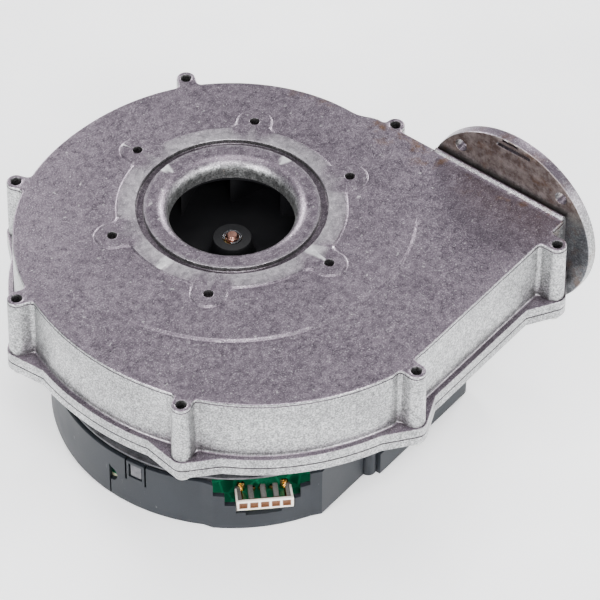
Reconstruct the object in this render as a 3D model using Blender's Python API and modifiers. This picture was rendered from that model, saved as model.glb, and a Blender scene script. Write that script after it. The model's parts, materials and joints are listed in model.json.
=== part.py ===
"""Combustion fan for a premix condensing boiler: a die-cast scroll on an external-rotor motor.

The frame: the origin is on the fan axis at the underside of the motor cover, +Z runs up the
axis to the inlet, and +X points out of the outlet. Sizes are in millimetres until `metres`
turns them into Blender units.
"""

import math

import bmesh
import bpy
from mathutils import Vector

# ---------------------------------------------------------------- driving dimensions, mm
MM = 0.001
GAP = 0.3  # clearance kept between solids that touch on the real fan

TOP_Z = 102.0  # top of the scroll
PARTING_Z = 71.0  # where the scroll meets the back plate
RIM_HEIGHT = 4.4  # flange of the scroll above the parting
PLATE_FOOT_Z = 67.0  # underside of the back plate
WALL = 3.0
RIM_OUT = 2.8  # how far the parting flange stands out from the scroll wall

SCROLL_FIRST = -45  # the first station's angle; the others follow every 45 degrees
SCROLL_RADII = (71.6, 71.0, 70.6, 73.1, 83.5, 92.6, 104.2, 107.4, 107.4)
SCROLL_START = -12  # where the spiral wall leaves the outlet end
SCROLL_END = 253  # where it runs into the straight duct wall
DUCT_START_X = -14.0
DUCT_Y = -103.0  # outside of the straight duct wall
DUCT_X = 74.0  # end of the scroll at the outlet flange
TONGUE_ANGLE = -30
TONGUE_RADIUS = 68.0

POSTS = (  # the screw posts, anticlockwise from the outlet side
    (45.2, 60.4),
    (-41.1, 73.3),
    (-88.2, 31.2),
    (-91.4, -50.9),
    (-24.5, -107.0),
    (61.2, -108.4),
    (75.6, -20.4),
)
POST_RADIUS = 3.7
POST_HOLE = 2.0
EAR_RADIUS = 4.4
EAR_REACH = 14.0  # along the wall, from a post to where its ear runs out

INLET_HOLES = 6
INLET_PCD = 96.0
INLET_PHASE = 28.7
INLET_HOLE = 1.9
PLATEAU_Z = 102.6
PLATEAU_RADIUS = 43.7
LOBE_RADIUS = 6.2
GROOVE = (33.9, 36.7, 1.6)  # inner radius, outer radius, depth
THROAT_RADIUS = 23.8
LIP_RADIUS = 29.4
BELL_FOOT_Z = 91.0

FLANGE_X = 75.2
FLANGE_THICKNESS = 4.3
FLANGE_RADIUS = 38.4
FLANGE_Y = -75.8
FLANGE_Z = 86.2
FLANGE_PCD = 66.8
FLANGE_HOLE = 2.6
OUTLET_Y = (-100.0, -51.0)
OUTLET_Z = (70.0, 98.6)

POT_RADIUS = 58.0
POT_FOOT_Z = 29.3
POT_RIM_RADIUS = 70.0
MOTOR_FLANGE_Z = (26.0, 29.0)
MOTOR_FLANGE_RADIUS = 71.0
SCREW_CIRCLE = 62.0  # the three screws that hold the motor flange to the pot
SCREW_ANGLES = (50, 170, 290)
WINDOW_ANGLES = (90, 210, 330)
POT_RIBS = 8

COVER_RADIUS = 72.8
COVER_HEIGHT = 25.0
COVER_WALL = 2.0
COVER_BULGE_RADIUS = 74.0
COVER_BULGE = (-147, -117)  # the sector that carries the plug
COVER_SIDE_Y = -68.6
COVER_WING_Y = -73.2
COVER_WING_X = 59.5
COVER_WING_HEIGHT = 11.5
LATCH_ANGLES = (8, 98, 188)
LATCH_LUG = 3.3  # half widths of the lug, its eye in the cover and the gaps beside it
LATCH_EYE = 3.6
LATCH_GAP = 5.0
LATCH_GAP_FOOT = 16.0
PILLAR_CIRCLE = 52.0
PILLAR_ANGLES = (30, 150, 270)

BOARD_Z = (8.0, 9.6)
HEADER_ANGLE = -135  # the way the plug faces
HEADER_FACE = 73.0  # the header's front, along that direction
HEADER_SHIFT = 4.9  # sideways, anticlockwise seen from above
HEADER_PITCH = 4.2
HEADER_WAYS = 5
HEADER_SIZE = (9.0, 22.2, 5.3)

SHAFT_RADIUS = 2.5
SHAFT_Z = (31.5, 87.2)
BEARING_OUTER = 8.0
BEARING_WIDTH = 5.0
BEARING_Z = (34.0, 53.5)  # the lower face of each bearing
BALLS = 7
BALL_RADIUS = 1.25
BALL_CIRCLE = 5.35  # the radius that the balls run at
STATOR_Z = (36.0, 50.0)
TEETH = 6

IMPELLER_RADIUS = 64.0
IMPELLER_Z = (73.5, 75.5)
EYE_RADIUS = 26.4
HUB_RADIUS = 7.6
HUB_TOP_Z = 85.7
BLADES = 9
BLADE_START = 30.0
BLADE_LEAN = 52.0  # degrees that a blade trails by at the tip


# ---------------------------------------------------------------- the scene
for old in list(bpy.data.objects):
    bpy.data.objects.remove(old, do_unlink=True)

parts = bpy.data.collections.new("combustion_fan")
cutters = bpy.data.collections.new("cutters")
bpy.context.scene.collection.children.link(parts)
bpy.context.scene.collection.children.link(cutters)


# ---------------------------------------------------------------- materials
def material(name, colour, roughness, metallic):
    made = bpy.data.materials.new(name)
    made.use_nodes = True
    shader = made.node_tree.nodes["Principled BSDF"]
    shader.inputs["Base Color"].default_value = (*colour, 1.0)
    shader.inputs["Roughness"].default_value = roughness
    shader.inputs["Metallic"].default_value = metallic
    return made


CAST = material("cast_aluminium", (0.50, 0.48, 0.50), 0.45, 0.9)
STEEL = material("zinc_steel", (0.62, 0.62, 0.60), 0.35, 1.0)
DARK_STEEL = material("lamination_steel", (0.16, 0.16, 0.17), 0.5, 0.9)
BEARING = material("bearing_steel", (0.75, 0.75, 0.77), 0.15, 1.0)
COPPER = material("enamelled_copper", (0.62, 0.25, 0.10), 0.3, 1.0)
BRASS = material("brass", (0.70, 0.50, 0.20), 0.3, 1.0)
BLACK = material("black_plastic", (0.055, 0.06, 0.065), 0.45, 0.0)
IMPELLER = material("impeller_plastic", (0.02, 0.02, 0.022), 0.5, 0.0)
WHITE = material("header_nylon", (0.85, 0.80, 0.72), 0.4, 0.0)
BOARD = material("circuit_board", (0.0, 0.17, 0.08), 0.35, 0.0)
RUBBER = material("seal_rubber", (0.03, 0.03, 0.03), 0.7, 0.0)
FERRITE = material("ferrite", (0.10, 0.10, 0.11), 0.6, 0.2)
GOLD = material("gold_plated", (0.85, 0.60, 0.22), 0.2, 1.0)
CAN = material("capacitor_can", (0.08, 0.09, 0.14), 0.3, 0.3)


# ---------------------------------------------------------------- shape helpers
def metres(*values):
    return Vector([v * MM for v in values])


def polar(radius, degrees):
    angle = math.radians(degrees)
    return radius * math.cos(angle), radius * math.sin(angle)


def add(name, mesh, look=None):
    """A part where a look is given, otherwise a cutter or a tool."""
    made = bpy.data.objects.new(name, mesh)
    if look is None:
        cutters.objects.link(made)
        made.hide_render = True
        made.display_type = "WIRE"
    else:
        parts.objects.link(made)
        mesh.materials.append(look)
    return made


def shaded(mesh):
    mesh.shade_smooth()
    mesh.set_sharp_from_angle(angle=math.radians(35))


def block(name, low, high, look=None):
    shape = bmesh.new()
    bmesh.ops.create_cube(shape, size=1.0)
    low, high = metres(*low), metres(*high)
    for corner in shape.verts:
        corner.co = Vector([low[i] if corner.co[i] < 0 else high[i] for i in range(3)])
    mesh = bpy.data.meshes.new(name)
    shape.to_mesh(mesh)
    shape.free()
    return add(name, mesh, look)


def rod(name, radius, low, high, at=(0.0, 0.0), look=None, sides=32, top_radius=None):
    """An upright cylinder or cone between two heights."""
    top_radius = radius if top_radius is None else top_radius
    depth = (high - low) * MM
    shape = bmesh.new()
    bmesh.ops.create_cone(
        shape, cap_ends=True, segments=sides, radius1=radius * MM, radius2=top_radius * MM, depth=depth
    )
    bmesh.ops.translate(shape, verts=shape.verts, vec=metres(*at, (low + high) / 2))
    mesh = bpy.data.meshes.new(name)
    shape.to_mesh(mesh)
    shape.free()
    shaded(mesh)
    return add(name, mesh, look)


def turned(name, profile, look=None, steps=48, at=(0.0, 0.0)):
    """A closed (radius, z) profile, given down its outer side first, turned about the axis."""
    mesh = bpy.data.meshes.new(name)
    corners = [metres(radius, 0, z) for radius, z in profile]
    edges = [(i, (i + 1) % len(corners)) for i in range(len(corners))]
    if profile[0][0] == 0 and profile[-1][0] == 0:
        edges.pop()
    mesh.from_pydata(corners, edges, [])
    made = add(name, mesh, look)
    made.location = metres(*at, 0)
    screw = made.modifiers.new("turn", "SCREW")
    screw.axis = "Z"
    screw.steps = screw.render_steps = steps
    screw.use_merge_vertices = True
    screw.merge_threshold = 0.00001
    screw.use_smooth_shade = True
    return made


def ring(name, inner, outer, low, high, look=None, steps=48, at=(0.0, 0.0)):
    return turned(name, [(outer, high), (outer, low), (inner, low), (inner, high)], look, steps, at)


def as_mesh(curve_object, name, look):
    """The curve's filled, capped surface as a closed mesh object."""
    bpy.context.view_layer.update()
    graph = bpy.context.evaluated_depsgraph_get()
    mesh = bpy.data.meshes.new_from_object(curve_object.evaluated_get(graph))
    mesh.name = name
    mesh.materials.clear()
    shape = bmesh.new()
    shape.from_mesh(mesh)
    bmesh.ops.remove_doubles(shape, verts=shape.verts, dist=0.000001)
    shape.to_mesh(mesh)
    shape.free()
    made = add(name, mesh, look)
    made.matrix_world = curve_object.matrix_world
    bpy.data.objects.remove(curve_object, do_unlink=True)
    return made


def plate(name, loops, low, high, look=None):
    """Flat outlines, the first outside and the rest holes, extruded between two heights."""
    curve = bpy.data.curves.new(name + "_outline", "CURVE")
    curve.dimensions = "2D"
    curve.fill_mode = "BOTH"
    curve.extrude = (high - low) / 2 * MM
    for loop in loops:
        spline = curve.splines.new("POLY")
        spline.points.add(len(loop) - 1)
        for point, (x, y) in zip(spline.points, loop):
            point.co = (x * MM, y * MM, 0.0, 1.0)
        spline.use_cyclic_u = True
    drawn = bpy.data.objects.new(name + "_outline", curve)
    cutters.objects.link(drawn)
    drawn.location.z = (low + high) / 2 * MM
    made = as_mesh(drawn, name, look)
    shaded(made.data)
    return made


def boolean(target, tool, operation):
    step = target.modifiers.new(operation.lower() + "_" + tool.name, "BOOLEAN")
    step.operation = operation
    step.solver = "EXACT"
    step.object = tool


def cut(target, *tools):
    for tool in tools:
        boolean(target, tool, "DIFFERENCE")


def join(target, *tools):
    for tool in tools:
        boolean(target, tool, "UNION")


def arc(centre, radius, start, end, count):
    """Points along an arc, from one angle to another in degrees."""
    spokes = [polar(radius, start + (end - start) * i / (count - 1)) for i in range(count)]
    return [(centre[0] + x, centre[1] + y) for x, y in spokes]


# ---------------------------------------------------------------- the scroll's outline
def scroll_radius(degrees):
    """The outside of the scroll wall, eased from one 45 degree station to the next."""
    place = (degrees - SCROLL_FIRST) / 45
    index = min(max(int(place), 1), len(SCROLL_RADII) - 3)
    t = place - index
    before, here, there, after = SCROLL_RADII[index - 1 : index + 3]
    return 0.5 * (
        2 * here
        + (there - before) * t
        + (2 * before - 5 * here + 4 * there - after) * t * t
        + (3 * here - before - 3 * there + after) * t * t * t
    )


def scroll_outline(offset, side_offset=None, steps=36):
    """The scroll from the flange round to the straight duct wall, moved outwards by offset."""
    side_offset = offset if side_offset is None else side_offset
    angles = [SCROLL_START + (SCROLL_END - SCROLL_START) * i / steps for i in range(steps + 1)]
    points = [polar(scroll_radius(a) + offset, a) for a in angles]
    points.append((DUCT_START_X, DUCT_Y - offset))
    points.append((DUCT_X + side_offset, DUCT_Y - offset))
    points.append((DUCT_X + side_offset, -17.0 + offset / 2))
    return points


def ear(post):
    """A pointed lug round a post that runs out along the wall on both sides."""
    x, y = post
    straight = y < DUCT_Y  # a post on the straight duct wall
    outward = -90 if straight else math.degrees(math.atan2(y, x))
    along = Vector(polar(1.0, outward + 90))
    foot = Vector(post) - Vector(polar(EAR_RADIUS + 1.5, outward))
    ahead = min(EAR_REACH, DUCT_X - 2 - x) if straight else EAR_REACH
    tip = arc(post, EAR_RADIUS, outward - 60, outward + 60, 5)
    return [tuple(foot - along * EAR_REACH), *tip, tuple(foot + along * ahead)]


def reach(outline, degrees):
    """How far a ray from the fan axis gets before it leaves the outline, or 0 where it misses."""
    ray = Vector(polar(1.0, degrees))
    side = Vector((-ray.y, ray.x))
    farthest = 0.0
    for start, end in zip(outline, outline[1:] + outline[:1]):
        a, b = Vector(start), Vector(end)
        if a.dot(side) * b.dot(side) > 0 or a.dot(side) == b.dot(side):
            continue
        share = a.dot(side) / (a.dot(side) - b.dot(side))
        farthest = max(farthest, a.lerp(b, share).dot(ray))
    return farthest


def bends(before, here, after):
    """Whether an outline turns by more than about a degree at a point."""
    a, b = Vector(here) - Vector(before), Vector(after) - Vector(here)
    return abs(a.angle_signed(b)) > 0.02


def eared_outline(offset, side_offset):
    """The envelope of the scroll outline and the lugs of the seven posts."""
    shapes = [scroll_outline(offset, side_offset), *[ear(post) for post in POSTS]]
    corners = sorted(math.degrees(math.atan2(y, x)) for shape in shapes for x, y in shape)
    angles = [a for a, last in zip(corners, [-360.0, *corners]) if a - last > 0.2]
    edge = [polar(max(reach(shape, a) for shape in shapes), a) for a in angles]
    runs = zip(edge[-1:] + edge, edge, edge[1:] + edge[:1])
    return [here for before, here, after in runs if bends(before, here, after)]


def scroll_cavity():
    """The air space: from the tongue round the spiral, along the duct and back to the tongue."""
    steps = 32
    spiral = []
    for i in range(steps + 1):
        angle = TONGUE_ANGLE + (SCROLL_END - TONGUE_ANGLE) * i / steps
        inside = scroll_radius(angle) - WALL
        spiral.append(polar(min(inside, TONGUE_RADIUS) if angle < 0 else inside, angle))
    duct = [(DUCT_START_X, DUCT_Y + WALL), (DUCT_X - WALL, DUCT_Y + WALL), (DUCT_X - WALL, OUTLET_Y[1])]
    nose = 2.0
    tongue = arc((spiral[0][0] + nose, spiral[0][1] - 0.6 * nose), nose, -60, -190, 5)
    return spiral + duct + tongue


# ---------------------------------------------------------------- the housing
def inlet_bell():
    """The rolled inlet, its raised face and the seal groove, as one turned ring."""
    roll = LIP_RADIUS - THROAT_RADIUS
    lip = arc((LIP_RADIUS, PLATEAU_Z - roll), roll, 180, 90, 3)
    inner, outer, depth = GROOVE
    underside = TOP_Z - WALL - 1.0
    outside = [(PLATEAU_RADIUS, PLATEAU_Z), (PLATEAU_RADIUS, underside), (30.5, underside)]
    skirt = THROAT_RADIUS + 1.6
    neck = [(skirt + 2.0, underside - 1.0), (skirt, underside - 3.0)]
    mouth = [(skirt, BELL_FOOT_Z), (THROAT_RADIUS, BELL_FOOT_Z)]
    groove_foot = PLATEAU_Z - depth
    groove = [(inner, PLATEAU_Z), (inner, groove_foot), (outer, groove_foot), (outer, PLATEAU_Z)]
    return turned("inlet_bell", outside + neck + mouth + lip + groove, steps=28)


def outlet_flange():
    """The round outlet flange, an upright disc with its screw holes, slot and opening."""
    disc = rod("outlet_flange", FLANGE_RADIUS, 0, FLANGE_THICKNESS, sides=32)
    low, high = -2, FLANGE_THICKNESS + 2
    holes = []
    for k in range(4):
        at = polar(FLANGE_PCD / 2, 45 + 90 * k)
        holes.append(rod(f"flange_hole_{k}", FLANGE_HOLE, low, high, at, sides=8))
    slot = block("flange_slot", (-35.4, -8.0, low), (-33.8, 8.0, high))
    for piece in (disc, slot, *holes):
        piece.rotation_euler = (0, math.radians(90), 0)
        piece.location = metres(FLANGE_X, FLANGE_Y, FLANGE_Z)
    cut(disc, *holes, slot)
    return disc


def volute_housing():
    body = plate("volute_housing", [scroll_outline(0.0)], PARTING_Z + 1.5, TOP_Z, CAST)
    join(body, plate("scroll_rim", [eared_outline(RIM_OUT, -0.2)], PARTING_Z, PARTING_Z + RIM_HEIGHT))
    for k, post in enumerate(POSTS, 1):
        taper = POST_RADIUS + 0.3
        join(body, rod(f"post_{k}", taper, PARTING_Z + 1, TOP_Z, post, sides=12, top_radius=POST_RADIUS))
    seats = [polar(INLET_PCD / 2, INLET_PHASE + 360 / INLET_HOLES * k) for k in range(INLET_HOLES)]
    for k, seat in enumerate(seats):
        join(body, rod(f"inlet_lobe_{k}", LOBE_RADIUS, TOP_Z - 2, PLATEAU_Z, seat, sides=12))
    neck_low = (DUCT_X - WALL + 0.5, OUTLET_Y[0] - 2.6, PARTING_Z + 0.5)
    neck_high = (FLANGE_X + 1, OUTLET_Y[1] + WALL, TOP_Z - 0.5)
    join(body, block("outlet_neck", neck_low, neck_high), outlet_flange())
    cut(body, plate("scroll_cavity", [scroll_cavity()], PARTING_Z - 4, TOP_Z - WALL))
    opening_low = (DUCT_X - WALL - 2, OUTLET_Y[0], OUTLET_Z[0])
    opening_high = (FLANGE_X + 8, OUTLET_Y[1], OUTLET_Z[1])
    cut(body, block("outlet_opening", opening_low, opening_high))
    cut(body, rod("inlet_clearance", PLATEAU_RADIUS - 1, TOP_Z - 12, TOP_Z + 4, sides=28))
    for k, seat in enumerate(seats):
        join(body, rod(f"inlet_boss_{k}", 5.0, TOP_Z - 9, TOP_Z - 1, seat, sides=8))
    join(body, inlet_bell())
    for k, seat in enumerate(seats):
        cut(body, rod(f"inlet_hole_{k}", INLET_HOLE, TOP_Z - 7, TOP_Z + 5, seat, sides=6))
    for k, post in enumerate(POSTS, 1):
        cut(body, rod(f"post_hole_{k}", POST_HOLE, PARTING_Z - 2, TOP_Z + 2, post, sides=6))
    return body


def back_plate():
    """The lower casting: the scroll's floor, its flange, and the pot that holds the motor."""
    high = PARTING_Z - GAP
    body = plate("back_plate", [eared_outline(RIM_OUT, -0.4)], PLATE_FOOT_Z, high, CAST)
    pot = [
        (POT_RADIUS, PLATE_FOOT_Z + 1),
        (POT_RADIUS, POT_FOOT_Z + 3),
        (POT_RIM_RADIUS, POT_FOOT_Z + 3),
        (POT_RIM_RADIUS, POT_FOOT_Z),
        (POT_RADIUS - WALL, POT_FOOT_Z),
        (POT_RADIUS - WALL, PLATE_FOOT_Z + 1),
    ]
    join(body, turned("motor_pot", pot, steps=32))
    join(body, rod("seal_boss", 14.0, PLATE_FOOT_Z - 2.0, high - 1, sides=16))
    rib_low, rib_high = (POT_RADIUS - 1.5, -1.25, 45.0), (POT_RIM_RADIUS - 1, 1.25, PLATE_FOOT_Z + 1)
    for k in range(POT_RIBS):
        rib = block(f"plate_rib_{k}", rib_low, rib_high)
        rib.rotation_euler.z = math.radians(360 / POT_RIBS * (k + 0.5))
        join(body, rib)
    groove = [scroll_outline(-0.5, -0.9, 24), scroll_outline(-2.5, -2.6, 24)[::-1]]
    cut(body, plate("seal_groove", groove, high - 1.8, high + 2))
    cut(body, rod("seal_seat", 8.3, PARTING_Z - 3, PARTING_Z + 2, sides=16))
    cut(body, rod("shaft_hole", 4.0, 50, PARTING_Z + 2, sides=12))
    for k, post in enumerate(POSTS, 1):
        cut(body, rod(f"plate_hole_{k}", POST_HOLE + 0.1, PLATE_FOOT_Z - 2, PARTING_Z + 2, post, sides=6))
    for k, angle in enumerate(SCREW_ANGLES):
        cut(body, rod(f"pot_hole_{k}", 1.9, 25, POT_FOOT_Z + 5, polar(SCREW_CIRCLE, angle), sides=6))
    for k, angle in enumerate(WINDOW_ANGLES):
        window = block(f"pot_window_{k}", (POT_RADIUS - 8, -9, 38), (POT_RADIUS + 4, 9, 54))
        window.rotation_euler.z = math.radians(angle)
        cut(body, window)
    return body


def housing_seal():
    outside, inside = scroll_outline(-0.8, -1.2, 24), scroll_outline(-2.2, -2.3, 24)
    return plate("housing_seal", [outside, inside[::-1]], PARTING_Z - GAP - 1.5, PARTING_Z - 0.05, RUBBER)


def screw(name, at, shank_radius, head_radius, head_z, shank_top, look=STEEL):
    """A pan head pointing down, with a shank up into the thread."""
    head = 3.0
    profile = [
        (0, shank_top),
        (shank_radius, shank_top - 1),
        (shank_radius, head_z),
        (head_radius, head_z),
        (head_radius, head_z - head * 0.6),
        (head_radius * 0.7, head_z - head),
        (0, head_z - head),
    ]
    return turned(name, profile, look, steps=8, at=at)


def housing_screws():
    for k, post in enumerate(POSTS, 1):
        screw(f"housing_screw_{k}", post, POST_HOLE - GAP, 3.6, PLATE_FOOT_Z - GAP, PARTING_Z + 18)


# ---------------------------------------------------------------- the motor's fixed side
def motor_flange():
    low, high = MOTOR_FLANGE_Z
    tube = BEARING_OUTER + GAP
    bearing_top = BEARING_Z[1] + BEARING_WIDTH + 0.5
    shoulder_low, shoulder_high = BEARING_Z[0] + BEARING_WIDTH + GAP, BEARING_Z[1] - 1.6
    lip_outside = COVER_RADIUS - COVER_WALL - 0.6
    lip_inside = lip_outside - 2.0
    lip_foot = low - 4
    disc = [(MOTOR_FLANGE_RADIUS, high), (MOTOR_FLANGE_RADIUS, low), (lip_outside, low)]
    lip = [(lip_outside, lip_foot), (lip_inside, lip_foot), (lip_inside, low)]
    lower_bore = [(tube, low), (tube, shoulder_low), (6.5, shoulder_low)]
    upper_bore = [(6.5, shoulder_high), (tube, shoulder_high), (tube, bearing_top)]
    profile = [(12.0, bearing_top), (12.0, high), *disc, *lip, *lower_bore, *upper_bore]
    body = turned("motor_flange", profile, CAST, steps=32)
    for k, angle in enumerate(SCREW_ANGLES):
        hole = rod(f"motor_flange_hole_{k}", 1.9, low - 2, high + 2, polar(SCREW_CIRCLE, angle), sides=6)
        slot = block(f"lead_slot_{k}", (18, -3, low - 2), (26, 3, high + 2))
        slot.rotation_euler.z = math.radians(angle + 30)
        cut(body, hole, slot)
    cut(body, block("lip_flat", (-45, -75, low - 8), (45, COVER_SIDE_Y + COVER_WALL + 0.5, low)))
    for k, angle in enumerate(LATCH_ANGLES):
        near, far = COVER_RADIUS - 3.6, COVER_RADIUS - 0.9
        lug = block(f"latch_lug_{k}", (near, -LATCH_LUG, 22.2), (far, LATCH_LUG, 24.0))
        lug.rotation_euler.z = math.radians(angle)
        join(body, lug)
    return body


def flange_screws():
    for k, angle in enumerate(SCREW_ANGLES, 1):
        at = polar(SCREW_CIRCLE, angle)
        screw(f"motor_flange_screw_{k}", at, 1.6, 3.0, MOTOR_FLANGE_Z[0] - GAP, POT_FOOT_Z + 4.5)


def stator():
    low, high = STATOR_Z
    core = ring("stator_core", 12.3, 16.5, low, high, DARK_STEEL, steps=18)
    for k in range(TEETH):
        neck = block(f"tooth_neck_{k}", (16.0, -3.0, low), (28.0, 3.0, high))
        shoe = [*arc((0, 0), 30.0, -24, 24, 5), *arc((0, 0), 27.5, 24, -24, 5)]
        tooth = plate(f"tooth_shoe_{k}", [shoe], low, high)
        for piece in (neck, tooth):
            piece.rotation_euler.z = math.radians(360 / TEETH * k)
            join(core, piece)
    thick = 1.5
    for side, foot in (("lower", low - GAP - thick), ("upper", high + GAP)):
        name = f"stator_insulator_{side}"
        cap = ring(name, 12.3, 17.0, foot, foot + thick, WHITE, steps=18)
        for k in range(TEETH):
            arm = block(f"{name}_arm_{k}", (16.0, -3.4, foot), (28.5, 3.4, foot + thick))
            arm.rotation_euler.z = math.radians(360 / TEETH * k)
            join(cap, arm)


def coil(index):
    """One bobbin of wire round a tooth: a tall rounded frame with the tooth in its window."""
    low, high = STATOR_Z[0] - 2.1, STATOR_Z[1] + 2.1
    winding = 3.0  # thickness of the wound wire
    hole_x, hole_y = 3.7, (high - low) / 2
    near, far = 17.6, 26.2
    bend = 2.4
    corner_x, corner_y = hole_x + winding - bend, hole_y + winding - bend
    outline = []
    for sx, sy, start in ((1, 1, 0), (-1, 1, 90), (-1, -1, 180), (1, -1, 270)):
        outline += arc((sx * corner_x, sy * corner_y), bend, start, start + 90, 4)
    window = [(hole_x, -hole_y), (-hole_x, -hole_y), (-hole_x, hole_y), (hole_x, hole_y)]
    made = plate(f"stator_coil_{index}", [outline, window], near, far, COPPER)
    for vertex in made.data.vertices:
        across, up, out = vertex.co.x, vertex.co.y, vertex.co.z + made.location.z
        vertex.co = (out, across, up)
    made.location = metres(0, 0, (low + high) / 2)
    made.rotation_euler.z = math.radians(360 / TEETH * (index - 1))


def bearing(prefix, low):
    """A deep-groove ball bearing as its outer ring, its inner ring and its caged balls."""
    high = low + BEARING_WIDTH
    mid = (low + high) / 2
    race = BALL_RADIUS + GAP
    half = 1.3  # half the width of the ball groove
    groove = [math.sqrt(race**2 - z**2) for z in (-half, 0, half)]
    levels = [mid - half, mid, mid + half]
    outer_race = [(BALL_CIRCLE + depth, z) for depth, z in zip(groove, levels)]
    inner_race = [(BALL_CIRCLE - depth, z) for depth, z in zip(groove, levels[::-1])]
    outer = [(BEARING_OUTER, high), (BEARING_OUTER, low), (6.3, low), *outer_race, (6.3, high)]
    turned(f"{prefix}_bearing_outer_ring", outer, BEARING, steps=16)
    bore = SHAFT_RADIUS + GAP
    inner = [(4.4, high), *inner_race, (4.4, low), (bore, low), (bore, high)]
    turned(f"{prefix}_bearing_inner_ring", inner, BEARING, steps=16)
    near, far = BALL_CIRCLE - 0.55, BALL_CIRCLE + 0.55
    cage = ring(f"{prefix}_bearing_balls", near, far, mid - 0.4, mid + 0.4, BRASS, steps=14)
    for k in range(BALLS):
        centre = metres(*polar(BALL_CIRCLE, 360 / BALLS * k), mid)
        shape = bmesh.new()
        bmesh.ops.create_icosphere(shape, subdivisions=1, radius=BALL_RADIUS * MM)
        bmesh.ops.translate(shape, verts=shape.verts, vec=centre)
        mesh = bpy.data.meshes.new(f"{prefix}_ball_{k}")
        shape.to_mesh(mesh)
        shape.free()
        join(cage, add(f"{prefix}_ball_{k}", mesh))


# ---------------------------------------------------------------- the rotor
def rotor():
    shell = [(38.0, 61.0), (38.0, 34.0), (36.4, 34.0), (36.4, 59.4), (8.0, 59.4), (8.0, 61.0)]
    turned("rotor_cup", shell, STEEL, steps=32)
    ring("rotor_magnet", 30.9, 36.1, 35.0, 52.0, FERRITE, steps=32)
    ring("rotor_hub", SHAFT_RADIUS + GAP, 7.7, 59.2, 64.4, BRASS, steps=20)
    low, high = SHAFT_Z
    chamfer = 0.4
    top = [(0, high), (SHAFT_RADIUS - chamfer, high), (SHAFT_RADIUS, high - chamfer)]
    foot = [(SHAFT_RADIUS, low + chamfer), (SHAFT_RADIUS - chamfer, low), (0, low)]
    turned("motor_shaft", top + foot, COPPER, steps=16)
    ring("preload_spring", 5.0, 7.6, BEARING_Z[1] - 1.2, BEARING_Z[1] - 0.6, STEEL, steps=16)
    ring("shaft_seal", SHAFT_RADIUS + GAP, 8.0, PARTING_Z - 2.7, PARTING_Z - 0.8, RUBBER, steps=20)


# ---------------------------------------------------------------- the impeller
def shroud_height(radius):
    """The underside of the shroud, which falls from the eye to the tip."""
    fall = (radius - EYE_RADIUS) / (IMPELLER_RADIUS - EYE_RADIUS)
    tip_z, rise = 86.0, 5.0
    return tip_z + rise * (1 - fall) ** 2.5


def blade(index):
    """A thin strip swept back from the eye to the tip."""
    stations = 7
    half = 0.7  # half the blade's thickness
    tip = IMPELLER_RADIUS - 0.8
    middle = []
    for i in range(stations):
        t = i / (stations - 1)
        middle.append((BLADE_START + (tip - BLADE_START) * t, 360 / BLADES * index - BLADE_LEAN * t**0.85))
    left = [polar(r, a + math.degrees(half / r)) for r, a in middle]
    right = [polar(r, a - math.degrees(half / r)) for r, a in middle]
    return plate(f"blade_{index}", [left + right[::-1]], IMPELLER_Z[0] + 1, 93.0)


def impeller():
    low, high = IMPELLER_Z
    hub = [
        (HUB_RADIUS, HUB_TOP_Z),
        (HUB_RADIUS + 0.6, high + 3),
        (HUB_RADIUS + 4, high),
        (IMPELLER_RADIUS, high - 0.4),
        (IMPELLER_RADIUS, low),
        (5.3, low),
        (5.3, HUB_TOP_Z),
    ]
    disc = turned("impeller_wheel", hub, IMPELLER, steps=36)
    for k in range(BLADES):
        join(disc, blade(k))
    radii = [EYE_RADIUS + (IMPELLER_RADIUS - EYE_RADIUS) * (i / 4) ** 1.5 for i in range(5)]
    underside = [(r, shroud_height(r)) for r in radii]
    outside, above = IMPELLER_RADIUS + 5, 97.0
    blade_tops = [(r, z - GAP) for r, z in underside]
    space = [(outside, above), (outside, blade_tops[-1][1]), *blade_tops[::-1], (EYE_RADIUS, above)]
    cut(disc, turned("shroud_space", space, steps=36))
    thick, collar_z = 1.2, 93.6
    skin = [(r, z + thick) for r, z in underside[1:]]
    shroud = [(EYE_RADIUS + thick, collar_z), *skin, *underside[::-1], (EYE_RADIUS, collar_z)]
    turned("impeller_shroud", shroud, IMPELLER, steps=36)
    ring("impeller_bush", SHAFT_RADIUS + GAP, 5.0, low + GAP, HUB_TOP_Z - 1, BRASS, steps=16)
    ring("retaining_clip", SHAFT_RADIUS + GAP, 3.7, HUB_TOP_Z - 0.6, HUB_TOP_Z + 0.3, STEEL, steps=16)


# ---------------------------------------------------------------- the motor cover and electronics
def cover_outline(inset, wing):
    """The cover: a circle with a bulge for the plug, a flat side and, low down, a square wing."""
    wall, bulge, side = COVER_RADIUS - inset, COVER_BULGE_RADIUS - inset, COVER_SIDE_Y + inset
    points = arc((0, 0), wall, 0, 360 + COVER_BULGE[0] - 2, 30)
    points += arc((0, 0), bulge, 360 + COVER_BULGE[0], 360 + COVER_BULGE[1] + 1, 6)
    points.append((-30.0, side))
    if not wing:
        flat_end = math.degrees(math.acos(-side / wall)) - 90
        return points + arc((0, 0), wall, flat_end, -8, 12)
    points += [(inset, side), (inset, COVER_WING_Y + inset)]
    corner = 3.5
    points += arc((COVER_WING_X - inset - corner, COVER_WING_Y + inset + corner), corner, -90, 0, 4)
    points.append((COVER_WING_X - inset, -8.0 - inset))
    return points


def header_frame(piece):
    """Turns a piece drawn with +X forwards to face the way the plug does."""
    piece.rotation_euler.z = math.radians(HEADER_ANGLE)
    shift = polar(HEADER_SHIFT, HEADER_ANGLE + 90)
    piece.location += metres(*shift, 0)
    return piece


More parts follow.
